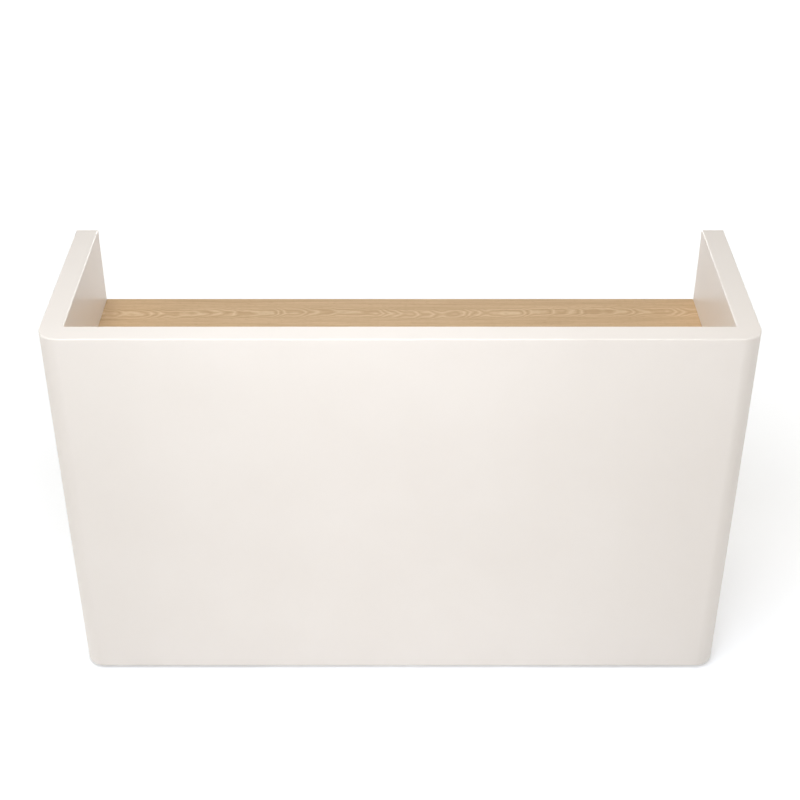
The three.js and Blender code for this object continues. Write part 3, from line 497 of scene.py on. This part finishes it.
def bored(low, high, axis, middle, bores, ease):
    """Board through an axis with a stepped hole: bores are (radius, height of its floor), from the
    face down. A ray's point on the rectangle is the middle plus its way times the shorter reach,
    and clipping it to a smaller rectangle gives the rings of the rounded edge."""
    u, v = (axis + 1) % 3, (axis + 2) % 3
    low_uv, high_uv = np.array([low[u], low[v]]), np.array([high[u], high[v]])
    middle = np.array(middle)
    corners = np.array([[a, b] for a in (low_uv[0], high_uv[0]) for b in (low_uv[1], high_uv[1])])
    angles = np.arange(RAYS) * 2 * math.pi / RAYS
    aims = np.arctan2(*(corners - middle).T[::-1]) % (2 * math.pi)
    angles[np.rint(aims / (2 * math.pi) * RAYS).astype(int) % RAYS] = aims
    way = np.stack([np.cos(angles), np.sin(angles)], 1)
    reach = np.where(way > 0, high_uv - middle, middle - low_uv) / np.maximum(abs(way), TINY)
    outer = middle + way * reach.min(1)[:, None]
    level = high[axis]
    rings = [(np.clip(outer, low_uv + by, high_uv - by), level - depth, edge_mark)
             for by, depth, edge_mark in zip(*edge_rings(ease, HOLD, HOLD))]
    for radius, floor in bores:
        rings += [(middle + way * (radius + HOLD), level, 0), (middle + way * radius, level, 1),
                  (middle + way * radius, floor, 0)]
        level = floor
    rings += [(middle + way * (bores[-1][0] + HOLD), low[axis], 0),
              (np.clip(outer, low_uv + HOLD, high_uv - HOLD), low[axis], 0), (outer, low[axis], 0)]
    grid = np.stack([np.column_stack([flat, np.full(RAYS, height)]) for flat, height, _ in rings])
    points, faces = skin(turn_to(grid, axis), closed=True)
    return points, faces, np.repeat([float(edge_mark) for _, _, edge_mark in rings], RAYS)


FIT = 0.3 * MM  # clearance round a part that sits in a bore
SLEEVE = 29.5 * MM  # radius outside the cable sleeve's tube
FLANGE_SEAT = 3.2 * MM
top_low, top_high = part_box("worktop")
sleeve_low, sleeve_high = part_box("cable_sleeve")
outlet = ((sleeve_low.x + sleeve_high.x) / 2, (sleeve_low.y + sleeve_high.y) / 2)
flange = (sleeve_high.x - sleeve_low.x) / 2
steps = [(flange + FIT, top_high.z - FLANGE_SEAT), (SLEEVE + FIT, top_low.z)]
piece("worktop_oak", [bored(top_low, top_high, 2, outlet, steps, 0)], oak, ["worktop"])

LOCK_RADIUS = 9 * MM
front_low, front_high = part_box("drawer_front")
lock_low, lock_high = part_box("lock_body")
lock_zx = ((lock_low.z + lock_high.z) / 2, (lock_low.x + lock_high.x) / 2)
front = bored(front_low, front_high, 1, lock_zx, [(LOCK_RADIUS + FIT, front_low.y)], FRONT_EASE)
piece("drawer_front_sprayed", [front], lacquer, ["drawer_front"])
print("worktop", np.round((top_high - top_low) / MM, 1), "mm")

# %% [markdown]
# ## Boards of the storage units
# Sides, floors, shelves and rails are 18 mm melamine faced board, with small rounds on their edge
# strips; the drawer's thin floor is hardboard faced the same way. The door is sprayed MDF with a
# softer edge, and the keyboard tray is oak board with rounded corners towards the operator. The
# drawer's sides and back are one board, mitred and folded: a slab over a U. The CAD boxes could be
# shown as they are, but their hard edges would catch no light, so the boards are made anew.

# %% Plain boards
MELAMINE_BOARDS = ("worktop_cleat", "drawer_unit_side", "drawer_unit_floor", "drawer_unit_divider",
                   "cupboard_shelf", "lock_rail", "drawer_floor", "shelf_unit_side",
                   "shelf_unit_floor", "open_shelf_1", "open_shelf_2")
STRIP_EASE = 0.8 * MM  # of a melamine board's edge strips
EDGING_EASE = 1 * MM
BACK_EASE = 0.5 * MM  # of edges that face away
TRAY_CORNERS = np.array([3, 15, 15, 3]) * MM
DRAWER_SIDE = 12 * MM
for node in MELAMINE_BOARDS:
    piece(node + "_board", [board(*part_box(node), STRIP_EASE)], melamine, [node])
door_board = board(*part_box("door"), FRONT_EASE, ease_low=BACK_EASE)
piece("door_panel", [door_board], lacquer, ["door"])
edging = board(*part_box("worktop_edging"), EDGING_EASE, ease_low=0)
piece("worktop_edge_strip", [edging], oak, ["worktop_edging"])
tray = board(*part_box("keyboard_tray"), FRONT_EASE, TRAY_CORNERS)
piece("keyboard_tray_oak", [tray], oak, ["keyboard_tray"])

low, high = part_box("drawer_sides")
half = np.array([(high.x, low.y), (high.x, high.y), (high.x - DRAWER_SIDE, high.y),
                 (high.x - DRAWER_SIDE, low.y + DRAWER_SIDE)])
folded = np.concatenate([half, (half * [-1, 1] + [low.x + high.x, 0])[::-1]])
drawer_sides = slab(folded, low.z, high.z, BACK_EASE, FRONT_EASE)
piece("drawer_sides_board", [drawer_sides], melamine, ["drawer_sides"])
print("boards:", len(MELAMINE_BOARDS) + 4)

# %% [markdown]
# ## Turned and moulded parts
# Glides, the cable sleeve and the lock barrel are round, so their rings are circles: a profile of
# radius and height, turned about an axis. Blender's Screw modifier does the same, but turning the
# profile ourselves lets each of its points carry its wear. The sleeve's profile closes on itself,
# like the bored boards.

# %% Turned parts
def unit_circle(sides):
    """Points (cos a, sin a) at equal angles, anticlockwise, as an (n, 2) array."""
    angles = np.arange(sides) * 2 * math.pi / sides
    return np.stack([np.cos(angles), np.sin(angles)], 1)


def turned(profile, middle, axis=2, sides=64, closed=False):
    """Profile rows of radius, height and wear, turned about an axis through a point of its plane:
    each row is the middle plus its radius times the unit circle, at its height."""
    profile = np.array(profile, float)
    flat = np.array(middle) + profile[:, None, :1] * unit_circle(sides)
    height = np.broadcast_to(profile[:, None, 1:2], flat.shape[:2] + (1,))
    points, faces = skin(turn_to(np.concatenate([flat, height], 2), axis), closed)
    return points, faces, np.repeat(profile[:, 2], sides)


GLIDE = [(10, 0, 0), (11, 0, 0), (11.8, 0.2, 1), (12.7, 0.8, 1), (13.5, 1.8, 1), (14, 3.2, 1),
         (14, 4, 0), (14, 8.4, 0), (13.8, 9.2, 1), (13.2, 9.8, 1), (12, 9.8, 0), (2.5, 9.8, 0),
         (2.5, 29, 0), (1.8, 29.8, 0)]  # foot, pad and pin, in mm from the floor
for spot in ("front_left", "front_right", "rear_left", "rear_right", "unit_left", "unit_right"):
    low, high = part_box("glide_" + spot)
    glide = turned(np.array(GLIDE) * [MM, MM, 1], ((low.x + high.x) / 2, (low.y + high.y) / 2))
    piece(f"glide_{spot}_nylon", [glide], nylon, ["glide_" + spot])

BORE, LEDGE, LEDGE_DEPTH, LEDGE_CHAMFER = 27.5 * MM, 31.5 * MM, 2 * MM, 0.5 * MM
FLANGE_DEPTH = 3 * MM
LIP, LIP_MIDDLE = 0.8 * MM, 0.25 * MM  # size of a rounded lip, and its middle point's inset
SLEEVE_SIDES = 96
top, bottom = sleeve_high.z, sleeve_low.z
profile = [(SLEEVE, bottom, 0), (SLEEVE, top - FLANGE_DEPTH, 0), (flange, top - FLANGE_DEPTH, 0),
           (flange, top - LIP, 0), (flange - LIP_MIDDLE, top - LIP_MIDDLE, 1),
           (flange - LIP, top, 1), (LEDGE + LEDGE_CHAMFER, top, 1),
           (LEDGE, top - LEDGE_CHAMFER, 1), (LEDGE, top - LEDGE_DEPTH, 0),
           (BORE, top - LEDGE_DEPTH, 0), (BORE, bottom, 0)]
sleeve = turned(profile, outlet, sides=SLEEVE_SIDES, closed=True)
piece("cable_sleeve_moulded", [sleeve], abs_plastic, ["cable_sleeve"])
print("turned: 6 glides, and a sleeve", round(2 * flange / MM, 1), "mm across")

# %% [markdown]
# ## The outlet's cap
# The cap is a disc that drops into the sleeve, with a slot for the cables. A boolean could cut the
# slot out of a cylinder; here it is a slab over an outline that runs round the rim, in along the
# slot, round its end and out again.

# %% Cable cap
SLOT = 8 * MM  # half its width
SLOT_REACH = 22 * MM  # from the sleeve's bore to the slot's round end
RIM_POINTS, SLOT_POINTS = 80, 24
CAP_EASE, CAP_UNDER, CAP_HOLD = 0.5 * MM, 0.2 * MM, 0.4 * MM
cap_low, cap_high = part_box("cable_cap")
cap_radius = (cap_high.x - cap_low.x) / 2
opening = math.asin(SLOT / cap_radius)
rim_turn = np.linspace(math.pi / 2 + opening, math.pi * 5 / 2 - opening, RIM_POINTS)
slot_turn = np.linspace(0, -math.pi, SLOT_POINTS)
round_rim = cap_radius * np.stack([np.cos(rim_turn), np.sin(rim_turn)], 1)
round_end = SLOT * np.stack([np.cos(slot_turn), np.sin(slot_turn)], 1)
cap_outline = np.concatenate([round_rim, round_end + [0, BORE - SLOT_REACH + SLOT]]) + outlet
cap = slab(cap_outline, cap_low.z, cap_high.z, CAP_UNDER, CAP_EASE, hold=CAP_HOLD)
piece("cable_cap_moulded", [cap], abs_plastic, ["cable_cap"])
print("cap", round(2 * cap_radius / MM, 1), "mm across")

# %% [markdown]
# ## Handles
# Each handle is a round bar with two bends: a circle carried along a path in one plane. A Blender
# curve with a bevel does this too, but twists its circles as it likes. Here each circle stands
# square to the path, so it needs only the path's direction and one vector across the plane.

# %% Handles
BAR = 5 * MM  # its radius
BAR_SIDES = 32
BEND = 12 * MM
BEND_STEPS = 12
BAR_FOOT = 0.4 * MM  # chamfer where a foot meets the front
HANDLES = {"drawer_handle": 0, "door_handle": 2}  # the axis that each bar runs along


def bow_bar(foot_a, foot_b, out):
    """Bar of circles along a path: up from one foot, a quarter circle, along, another, and down.
    A ring is its point plus its radius times (cos a side + sin a (heading x side))."""
    up = np.array([0, 1, 0])
    run = (foot_b - foot_a) / np.linalg.norm(foot_b - foot_a)
    turn = np.linspace(0, math.pi / 2, BEND_STEPS + 1)[:, None]
    rise = out - BEND - BAR
    first = foot_a + up * (rise + BEND * np.sin(turn)) + run * BEND * (1 - np.cos(turn))
    second = foot_b + up * (rise + BEND * np.cos(turn)) - run * BEND * (1 - np.sin(turn))
    foot = np.array([0, 1, 3])[:, None] * BAR_FOOT
    path = np.concatenate([foot_a + up * foot, first, second, foot_b + up * foot[::-1]])
    heading = np.concatenate([[up] * len(foot), up * np.cos(turn) + run * np.sin(turn),
                              run * np.cos(turn) - up * np.sin(turn), [-up] * len(foot)])
    girth = np.full(len(path), BAR)
    girth[[0, -1]] -= BAR_FOOT
    side = np.cross(np.cross(up, run), heading)[:, None]
    across, beside = unit_circle(BAR_SIDES).T[..., None]
    circles = across * side + beside * np.cross(heading[:, None], side)
    points, faces = skin(path[:, None] + girth[:, None, None] * circles)
    return points, faces, np.zeros(len(points))


for node, along in HANDLES.items():
    low, high = np.array(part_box(node))
    middle, reach = (low + high) / 2, np.zeros(3)
    middle[1] = low[1]
    reach[along] = (high[along] - low[along]) / 2 - BAR
    bar = bow_bar(middle - reach, middle + reach, high[1] - low[1])
    piece(node + "_bar", [bar], nickel, [node])
print("handles:", len(HANDLES), "of", 2 * BAR / MM, "mm bar")

# %% [markdown]
# ## Lock
# The drawer's cam lock is a turned barrel with a collar, and inside it a plug whose face has a
# keyhole. Cutting the keyhole would take a boolean; instead the plug's rings go from a circle to a
# narrow slot, and then down into it. The flat cam behind the front is a slab with rounded ends,
# which rides with the plug.

# %% Cam lock
COLLAR, COLLAR_DEPTH, PLUG = 11 * MM, 2 * MM, 6 * MM
PLUG_SIDES = 64
PLUG_CHAMFER = 0.4 * MM
KEYHOLE = np.array([3.5, 0.8])  # half its length and width, in mm
KEYHOLE_MOUTH, KEYHOLE_LIP, KEYHOLE_DEPTH = 1.1, 0.2 * MM, 4 * MM  # the mouth is a share
KEYHOLE_SQUARE = 0.35  # power that squares a circle off, from 1, round, to 0, square
CAM_HALF, CAM_ROUND, CAM_THICKNESS, CAM_EASE = 6 * MM, 5.8 * MM, 2.5 * MM, 0.3 * MM
face, collar_back, end = lock_high.y, lock_high.y - COLLAR_DEPTH, lock_low.y
profile = [(LOCK_RADIUS, end, 0), (LOCK_RADIUS, collar_back, 0), (COLLAR, collar_back, 0),
           (COLLAR, face - LIP, 0), (COLLAR - LIP_MIDDLE, face - LIP_MIDDLE, 1),
           (COLLAR - LIP, face, 1), (PLUG + FIT + PLUG_CHAMFER, face, 0),
           (PLUG + FIT, face - PLUG_CHAMFER, 1), (PLUG + FIT, end, 0)]
barrel = turned(profile, lock_zx, axis=1, closed=True)
piece("lock_barrel", [barrel], nickel, ["lock_body"])

plug_low, plug_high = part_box("lock_plug")
circle = unit_circle(PLUG_SIDES)
keyhole = np.sign(circle) * np.abs(circle) ** KEYHOLE_SQUARE * KEYHOLE * MM
stack = [(circle * PLUG, plug_low.y, 0), (circle * PLUG, plug_high.y - PLUG_CHAMFER, 1),
         (circle * (PLUG - PLUG_CHAMFER), plug_high.y, 1), (keyhole * KEYHOLE_MOUTH, plug_high.y, 0),
         (keyhole, plug_high.y - KEYHOLE_LIP, 1), (keyhole, plug_high.y - KEYHOLE_DEPTH, 0)]
rings = np.stack([np.column_stack([flat + lock_zx, np.full(PLUG_SIDES, height)])
                  for flat, height, _ in stack])
plug = (*skin(turn_to(rings, 1)), np.repeat([edge_mark for _, _, edge_mark in stack], PLUG_SIDES))
cam_outline = rectangle((lock_zx[0] - CAM_HALF, plug_low.x),
                        (lock_zx[0] + CAM_HALF, lock_zx[1] + CAM_HALF), CAM_ROUND)
cam = slab(cam_outline, plug_low.y, plug_low.y + CAM_THICKNESS, CAM_EASE, CAM_EASE, 1)
piece("lock_plug_and_cam", [plug, cam], nickel, ["lock_plug"])
print("lock", round((face - end) / MM, 1), "mm long")

# %% [markdown]
# ## Runners
# The drawer and the tray run on steel channels, one on the board and one on the moving piece, the
# smaller inside the larger. They are folded from 1.2 mm strip, so their bends are round. A Solidify
# modifier could give a sheet its thickness; we draw the strip's middle line, three straights with
# quarter bends, take an outline half a thickness to either side, and draw it out along the runner.

# %% Folded runners
STRIP = 1.2 * MM
FOLD = 1.4 * MM  # radius of a bend at the strip's middle
FOLD_STEPS = 6
STRIP_HOLD = 0.2 * MM


def folded_channel(low, high, opens):
    """Channel along Y in a box, its web on one side of X and its lips towards the other. Its
    outline is the middle line plus and minus half the strip along the line's normal."""
    web, lips = (low[0], high[0]) if opens > 0 else (high[0], low[0])
    turn = np.linspace(0, math.pi / 2, FOLD_STEPS + 1)
    top = high[2] - STRIP / 2
    bend_x = web + opens * STRIP / 2 + opens * FOLD * (1 - np.sin(turn))
    upper = np.stack([top - FOLD + FOLD * np.cos(turn), bend_x], 1)
    half = np.concatenate([[[top, lips]], upper])
    line = np.concatenate([half, (half * [-1, 1] + [low[2] + high[2], 0])[::-1]])
    ahead = np.gradient(line, axis=0)
    normal = np.stack([-ahead[:, 1], ahead[:, 0]], 1) / np.linalg.norm(ahead, axis=1)[:, None]
    normal[[0, -1]] = [[opens, 0], [-opens, 0]]
    outline = np.concatenate([line + normal * STRIP / 2, (line - normal * STRIP / 2)[::-1]])
    ahead = np.roll(outline, -1, 0)
    area = np.sum(outline[:, 0] * ahead[:, 1] - outline[:, 1] * ahead[:, 0])
    outline = outline if area > 0 else outline[::-1]
    return slab(outline, low[1], high[1], 0, 0, 1, hold=STRIP_HOLD)


for kind in ("drawer", "tray"):
    for side, sign in (("left", 1), ("right", -1)):
        for role, opens in (("fixed", sign), ("moving", -sign)):
            node = f"{kind}_runner_{side}_{role}"
            piece(node + "_folded", [folded_channel(*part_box(node), opens)], zinc, [node])
print("runners: 8 channels of", STRIP / MM, "mm strip")

# %% [markdown]
# ## Catch and strike
# A magnetic catch is a plastic block that holds two steel pole plates against a strike plate on the
# door. One box would do from afar, but the open cupboard shows it, so the plates are boards of
# their own that stand 1 mm out of the block.

# %% Magnetic catch
POLE_PROUD, POLE_DEPTH, POLE_SIDE = 1 * MM, 6 * MM, 6 * MM
POLE, POLE_LOW, POLE_HIGH = 2 * MM, 3.5 * MM, 5.5 * MM  # thickness, and places from both ends
CATCH_EASE, POLE_EASE, STRIKE_EASE = 1 * MM, 0.3 * MM, 0.2 * MM
catch_low, catch_high = np.array(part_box("door_catch"))
housing = board(catch_low, catch_high - [0, POLE_PROUD, 0], CATCH_EASE)
piece("door_catch_housing", [housing], nylon, ["door_catch"])
poles = []
for z in (catch_low[2] + POLE_LOW, catch_high[2] - POLE_HIGH):
    pole_low = [catch_low[0] + POLE_SIDE, catch_high[1] - POLE_DEPTH, z]
    pole_high = [catch_high[0] - POLE_SIDE, catch_high[1], z + POLE]
    poles.append(board(pole_low, pole_high, POLE_EASE))
piece("door_catch_poles", poles, zinc, body="carcass")
strike = board(*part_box("door_strike"), STRIKE_EASE)
piece("door_strike_plate", [strike], zinc, ["door_strike"])
print("catch:", len(poles), "poles and a strike")

# %% [markdown]
# ## Screws
# The screws of hinges and handles are small, but a hinge leaf looks unfinished without them. A bump
# map could fake them, but only from in front. A screw head is a low dome whose rings end in a
# cross, cut downwards; on the hinges the heads are countersunk, almost flush.

# %% Screw heads
SCREW_SIDES = 48
ARM, ARM_HALF = 0.55, 0.14  # reach and half width of the cross, as shares of the head's radius


def screw(middle, axis, facing, radius, dome):
    """Low domed head with a cross recess, looking along an axis: circles, then a plus sign, whose
    polar radius is the larger of two strips' reach, the lesser of length / |cos|, width / |sin|."""
    c, s = unit_circle(SCREW_SIDES).T
    strips = [np.minimum(ARM * radius / np.maximum(abs(a), TINY),
                         ARM_HALF * radius / np.maximum(abs(b), TINY)) for a, b in ((c, s), (s, c))]
    cross = np.maximum(*strips)
    stack = [(radius, 0, 0), (0.85 * radius, 0.6 * dome, 1), (0.65 * radius, dome, 0),
             (cross, dome, 1), (cross, 0.2 * dome, 0)]  # reach, height and wear
    rings = np.stack([np.stack([reach * c, reach * s, np.full(SCREW_SIDES, height)], 1)
                      for reach, height, _ in stack])
    rings = rings if facing > 0 else rings[:, ::-1] * [1, 1, -1]
    points, faces = skin(turn_to(rings, axis))
    return points + np.array(middle), faces, np.repeat([w for _, _, w in stack], SCREW_SIDES)


LEAF, LEAF_GAP = 1.2 * MM, 0.2 * MM  # thickness of a hinge leaf, and the gap between two
LEAF_SCREW, LEAF_DOME = 3 * MM, 0.08 * MM
LEAF_IN, LEAF_END = 8 * MM, 12 * MM  # a screw's place from a leaf's edge and ends
HANDLE_SCREW, HANDLE_DOME = 4 * MM, 1.2 * MM
wall_screws, door_screws, drawer_screws = [], [], []
for hinge in ("door_hinge_upper", "door_hinge_lower"):
    wall_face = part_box(hinge + "_wall_leaf")[0].x + LEAF
    for role, screws, facing, x in (("wall", wall_screws, 1, wall_face),
                                    ("door", door_screws, -1, wall_face + LEAF_GAP)):
        low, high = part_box(f"{hinge}_{role}_leaf")
        screws += [screw((x, low.y + LEAF_IN, z), 0, facing, LEAF_SCREW, LEAF_DOME)
                   for z in (low.z + LEAF_END, high.z - LEAF_END)]
for node, back, screws in (("door_handle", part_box("door")[0].y, door_screws),
                           ("drawer_handle", front_low.y, drawer_screws)):
    low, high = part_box(node)
    along = HANDLES[node]
    for foot in (low[along] + BAR, high[along] - BAR):
        middle = [(low.x + high.x) / 2, back, (low.z + high.z) / 2]
        middle[along] = foot
        screws.append(screw(middle, 1, -1, HANDLE_SCREW, HANDLE_DOME))
piece("hinge_screws_wall", wall_screws, nickel, body="carcass")
piece("hinge_and_handle_screws_door", door_screws, nickel, body="door")
piece("handle_screws_drawer", drawer_screws, nickel, body="drawer")
print("screws:", len(wall_screws) + len(door_screws) + len(drawer_screws))

# %% [markdown]
# ## CAD nodes that stay
# The batten frames inside the walls and the hinges have the right shape already, so drawing them
# again would gain nothing. A CAD node's mesh is never edited, but its material slot is ours to
# fill.

# %% Dress the CAD nodes
kept = {"core_frame": mdf, "hinge": nickel}
for name, node in nodes.items():
    for word, material in kept.items():
        if word in name:
            node.data.materials.clear()
            node.data.materials.append(material)
print("kept:", sum(not node.hide_render for node in nodes.values()), "CAD nodes")

# %% [markdown]
# ## Floor
# The desk stands on white, as in a catalogue. A floor that is only lit would need so much light
# that the desk burns out. So it also glows, but only to rays that see it directly, from the camera,
# a mirror or glass: it adds no light to the desk. Near the desk the glow is low, so that the shadow
# stays, and farther off it rises until the floor is plain white.

# %% Floor
FLOOR_PAINT = "f1f5fb"
FLOOR_GLOW = (0.4, 0.75)  # near the desk and far from it
FLOOR_FADE = (0.9, 3.2)  # metres from the desk's middle, from near to far
FLOOR_HALF = 30.0
FLOOR_POINTS = 13


def seen_directly(tree):
    """Socket that is 1 on rays from the camera, a reflection or glass, and 0 on scattered light:
    the largest of three Light Path values."""
    ray = add(tree, "LightPath").outputs
    seen = add(tree, "Math", {0: ray["Is Camera Ray"], 1: ray["Is Glossy Ray"]},
               operation="MAXIMUM")
    return add(tree, "Math", {0: seen.outputs[0], 1: ray["Is Transmission Ray"]},
               operation="MAXIMUM").outputs[0]


floor_material = bpy.data.materials.new("white_studio_floor")
floor_material.use_nodes = True
tree = floor_material.node_tree
tree.nodes.clear()
place = add(tree, "TexCoord").outputs["Object"]
away = add(tree, "VectorMath", {0: place}, operation="LENGTH")
fade = add(tree, "MapRange", {"Value": away.outputs["Value"], "From Min": FLOOR_FADE[0],
                              "From Max": FLOOR_FADE[1], "To Min": FLOOR_GLOW[0],
                              "To Max": FLOOR_GLOW[1]}, interpolation_type="SMOOTHSTEP")
glow = add(tree, "Math", {0: seen_directly(tree), 1: fade.outputs["Result"]}, operation="MULTIPLY")
paint = add(tree, "BsdfDiffuse", {"Color": linear(FLOOR_PAINT)})
white = add(tree, "Emission", {"Color": linear("ffffff"), "Strength": glow.outputs[0]})
mixed = add(tree, "AddShader", {0: paint.outputs[0], 1: white.outputs[0]})
add(tree, "OutputMaterial", {"Surface": mixed.outputs[0]})

line = np.linspace(-FLOOR_HALF, FLOOR_HALF, FLOOR_POINTS)
x, y = np.meshgrid(line, line)
index = np.arange(x.size).reshape(x.shape)
quads = np.stack([index[:-1, :-1], index[:-1, 1:], index[1:, 1:], index[1:, :-1]], -1)
floor_mesh = bpy.data.meshes.new("studio_floor")
floor_mesh.from_pydata(np.stack([x, y, 0 * x], -1).reshape(-1, 3).tolist(), [],
                       quads.reshape(-1, 4).tolist())
floor_mesh.materials.append(floor_material)
floor = into_scene("studio_floor", floor_mesh)
print("floor", 2 * FLOOR_HALF, "m wide")

# %% [markdown]
# ## World
# The world is the room's own soft light, which fills the shadows from everywhere. A picture of a
# studio could surround the desk, but its windows would show in the metal. A plain warm grey is
# enough, and rays that see it directly find white instead, as they do on the floor.

# %% World
SKY = 0.216
SKY_TINT = "fff7e9"
world = bpy.data.worlds.new("studio")
bpy.context.scene.world = world
world.use_nodes = True
tree = world.node_tree
tree.nodes.clear()
seen = seen_directly(tree)
level = add(tree, "MapRange", {"Value": seen, "To Min": SKY, "To Max": 1.0})
tint = add(tree, "Mix", {"Factor": seen, FROM: linear(SKY_TINT),
                         TO: linear("ffffff")}, data_type="RGBA")
sky = add(tree, "Background", {"Color": tint.outputs[MIXED], "Strength": level.outputs["Result"]})
add(tree, "OutputWorld", {"Surface": sky.outputs[0]})
print("sky", SKY)

# %% [markdown]
# ## Lamps
# One large panel overhead, to the visitor's left, is the key, so shadows are soft and the left end
# is a little brighter; a weaker one beside it evens out the rim. A small panel low in front lights
# the foot. Far panels behind and at both ends keep the other sides at a plain level; those at the
# ends are low, so that they don't shine over the walls. The ceiling light, a sun lamp with a wide
# spread, leans from the left and casts the soft shadow beside the desk. A picture of a studio might
# do as well, but lamps can be weighed one by one.

# %% Panels and ceiling
PANELS = {  # place, target, side of the square, power in watts, colour
    "key_panel": ((-0.35, -1.2, 2.7), (0.0, -0.2, 0.8), 1.7, 36.2, "f2f8ff"),
    "second_panel": ((0.35, -1.3, 2.7), (0.0, -0.2, 0.8), 1.5, 8.0, "fcfaff"),
    "fill_panel": ((-0.2, -2.8, 0.4), (0.3, -0.25, 0.1), 0.8, 14.8, "fffaf4"),
    "rear_panel": ((0.0, 9.0, 0.8), (0.0, 0.25, 0.5), 2.0, 345.0, "fdfeff"),
    "right_panel": ((5.0, 0.5, 0.4), (0.8, 0.0, 0.4), 0.8, 39.0, "fffcf8"),
    "left_panel": ((-5.0, 0.2, 0.4), (-0.8, 0.0, 0.4), 0.8, 42.0, "fffcf8"),
}
CEILING_TILT = (-6.0, -9.0)  # degrees about X and Y
CEILING_SPREAD = 22.0
CEILING_STRENGTH = 0.54
CEILING_TINT = "fff7e9"
for name, (stand, target, side, power, tint) in PANELS.items():
    panel = bpy.data.lights.new(name, "AREA")
    panel.shape = "SQUARE"
    panel.size = side
    panel.energy = power
    panel.color = linear(tint)[:3]
    lamp = into_scene(name, panel)
    lamp.location = stand
    lamp.visible_camera = False
    # A lamp shines down its own -Z: tilt it up from there to the target, then turn it about Z.
    aim = np.array(target) - np.array(stand)
    tilt = math.acos(-aim[2] / np.linalg.norm(aim))
    lamp.rotation_euler = (tilt, 0, math.atan2(-aim[0], aim[1]))
ceiling = bpy.data.lights.new("ceiling_light", "SUN")
ceiling.energy = CEILING_STRENGTH
ceiling.color = linear(CEILING_TINT)[:3]
ceiling.angle = math.radians(CEILING_SPREAD)
into_scene("ceiling_light", ceiling).rotation_euler = (*np.radians(CEILING_TILT), 0)
print("lamps:", len(PANELS) + 1)

# %% [markdown]
# ## Camera
# The camera stands in front of the desk, above head height, and looks down. Its place could be
# found by eye; here lens and tilt were worked out from the desk's straight edges, and a lens shift
# centres it without turning the camera. The Standard view renders a colour as it is written.

# %% Camera
LENS = 65.99  # mm, on Blender's usual sensor of 36 mm
CAMERA_PLACE = (0.0, -2.9414, 2.7399)
CAMERA_PITCH = 32.641  # degrees below the horizon
SHIFT_Y = -0.0834
camera_data = bpy.data.cameras.new("camera")
camera_data.lens = LENS
camera_data.shift_y = SHIFT_Y
camera = into_scene("camera", camera_data)
camera.location = CAMERA_PLACE
camera.rotation_euler = (math.radians(90 - CAMERA_PITCH), 0, 0)
bpy.context.scene.camera = camera
bpy.context.scene.view_settings.view_transform = "Standard"
print("camera: lens", LENS, "mm, pitch", CAMERA_PITCH)
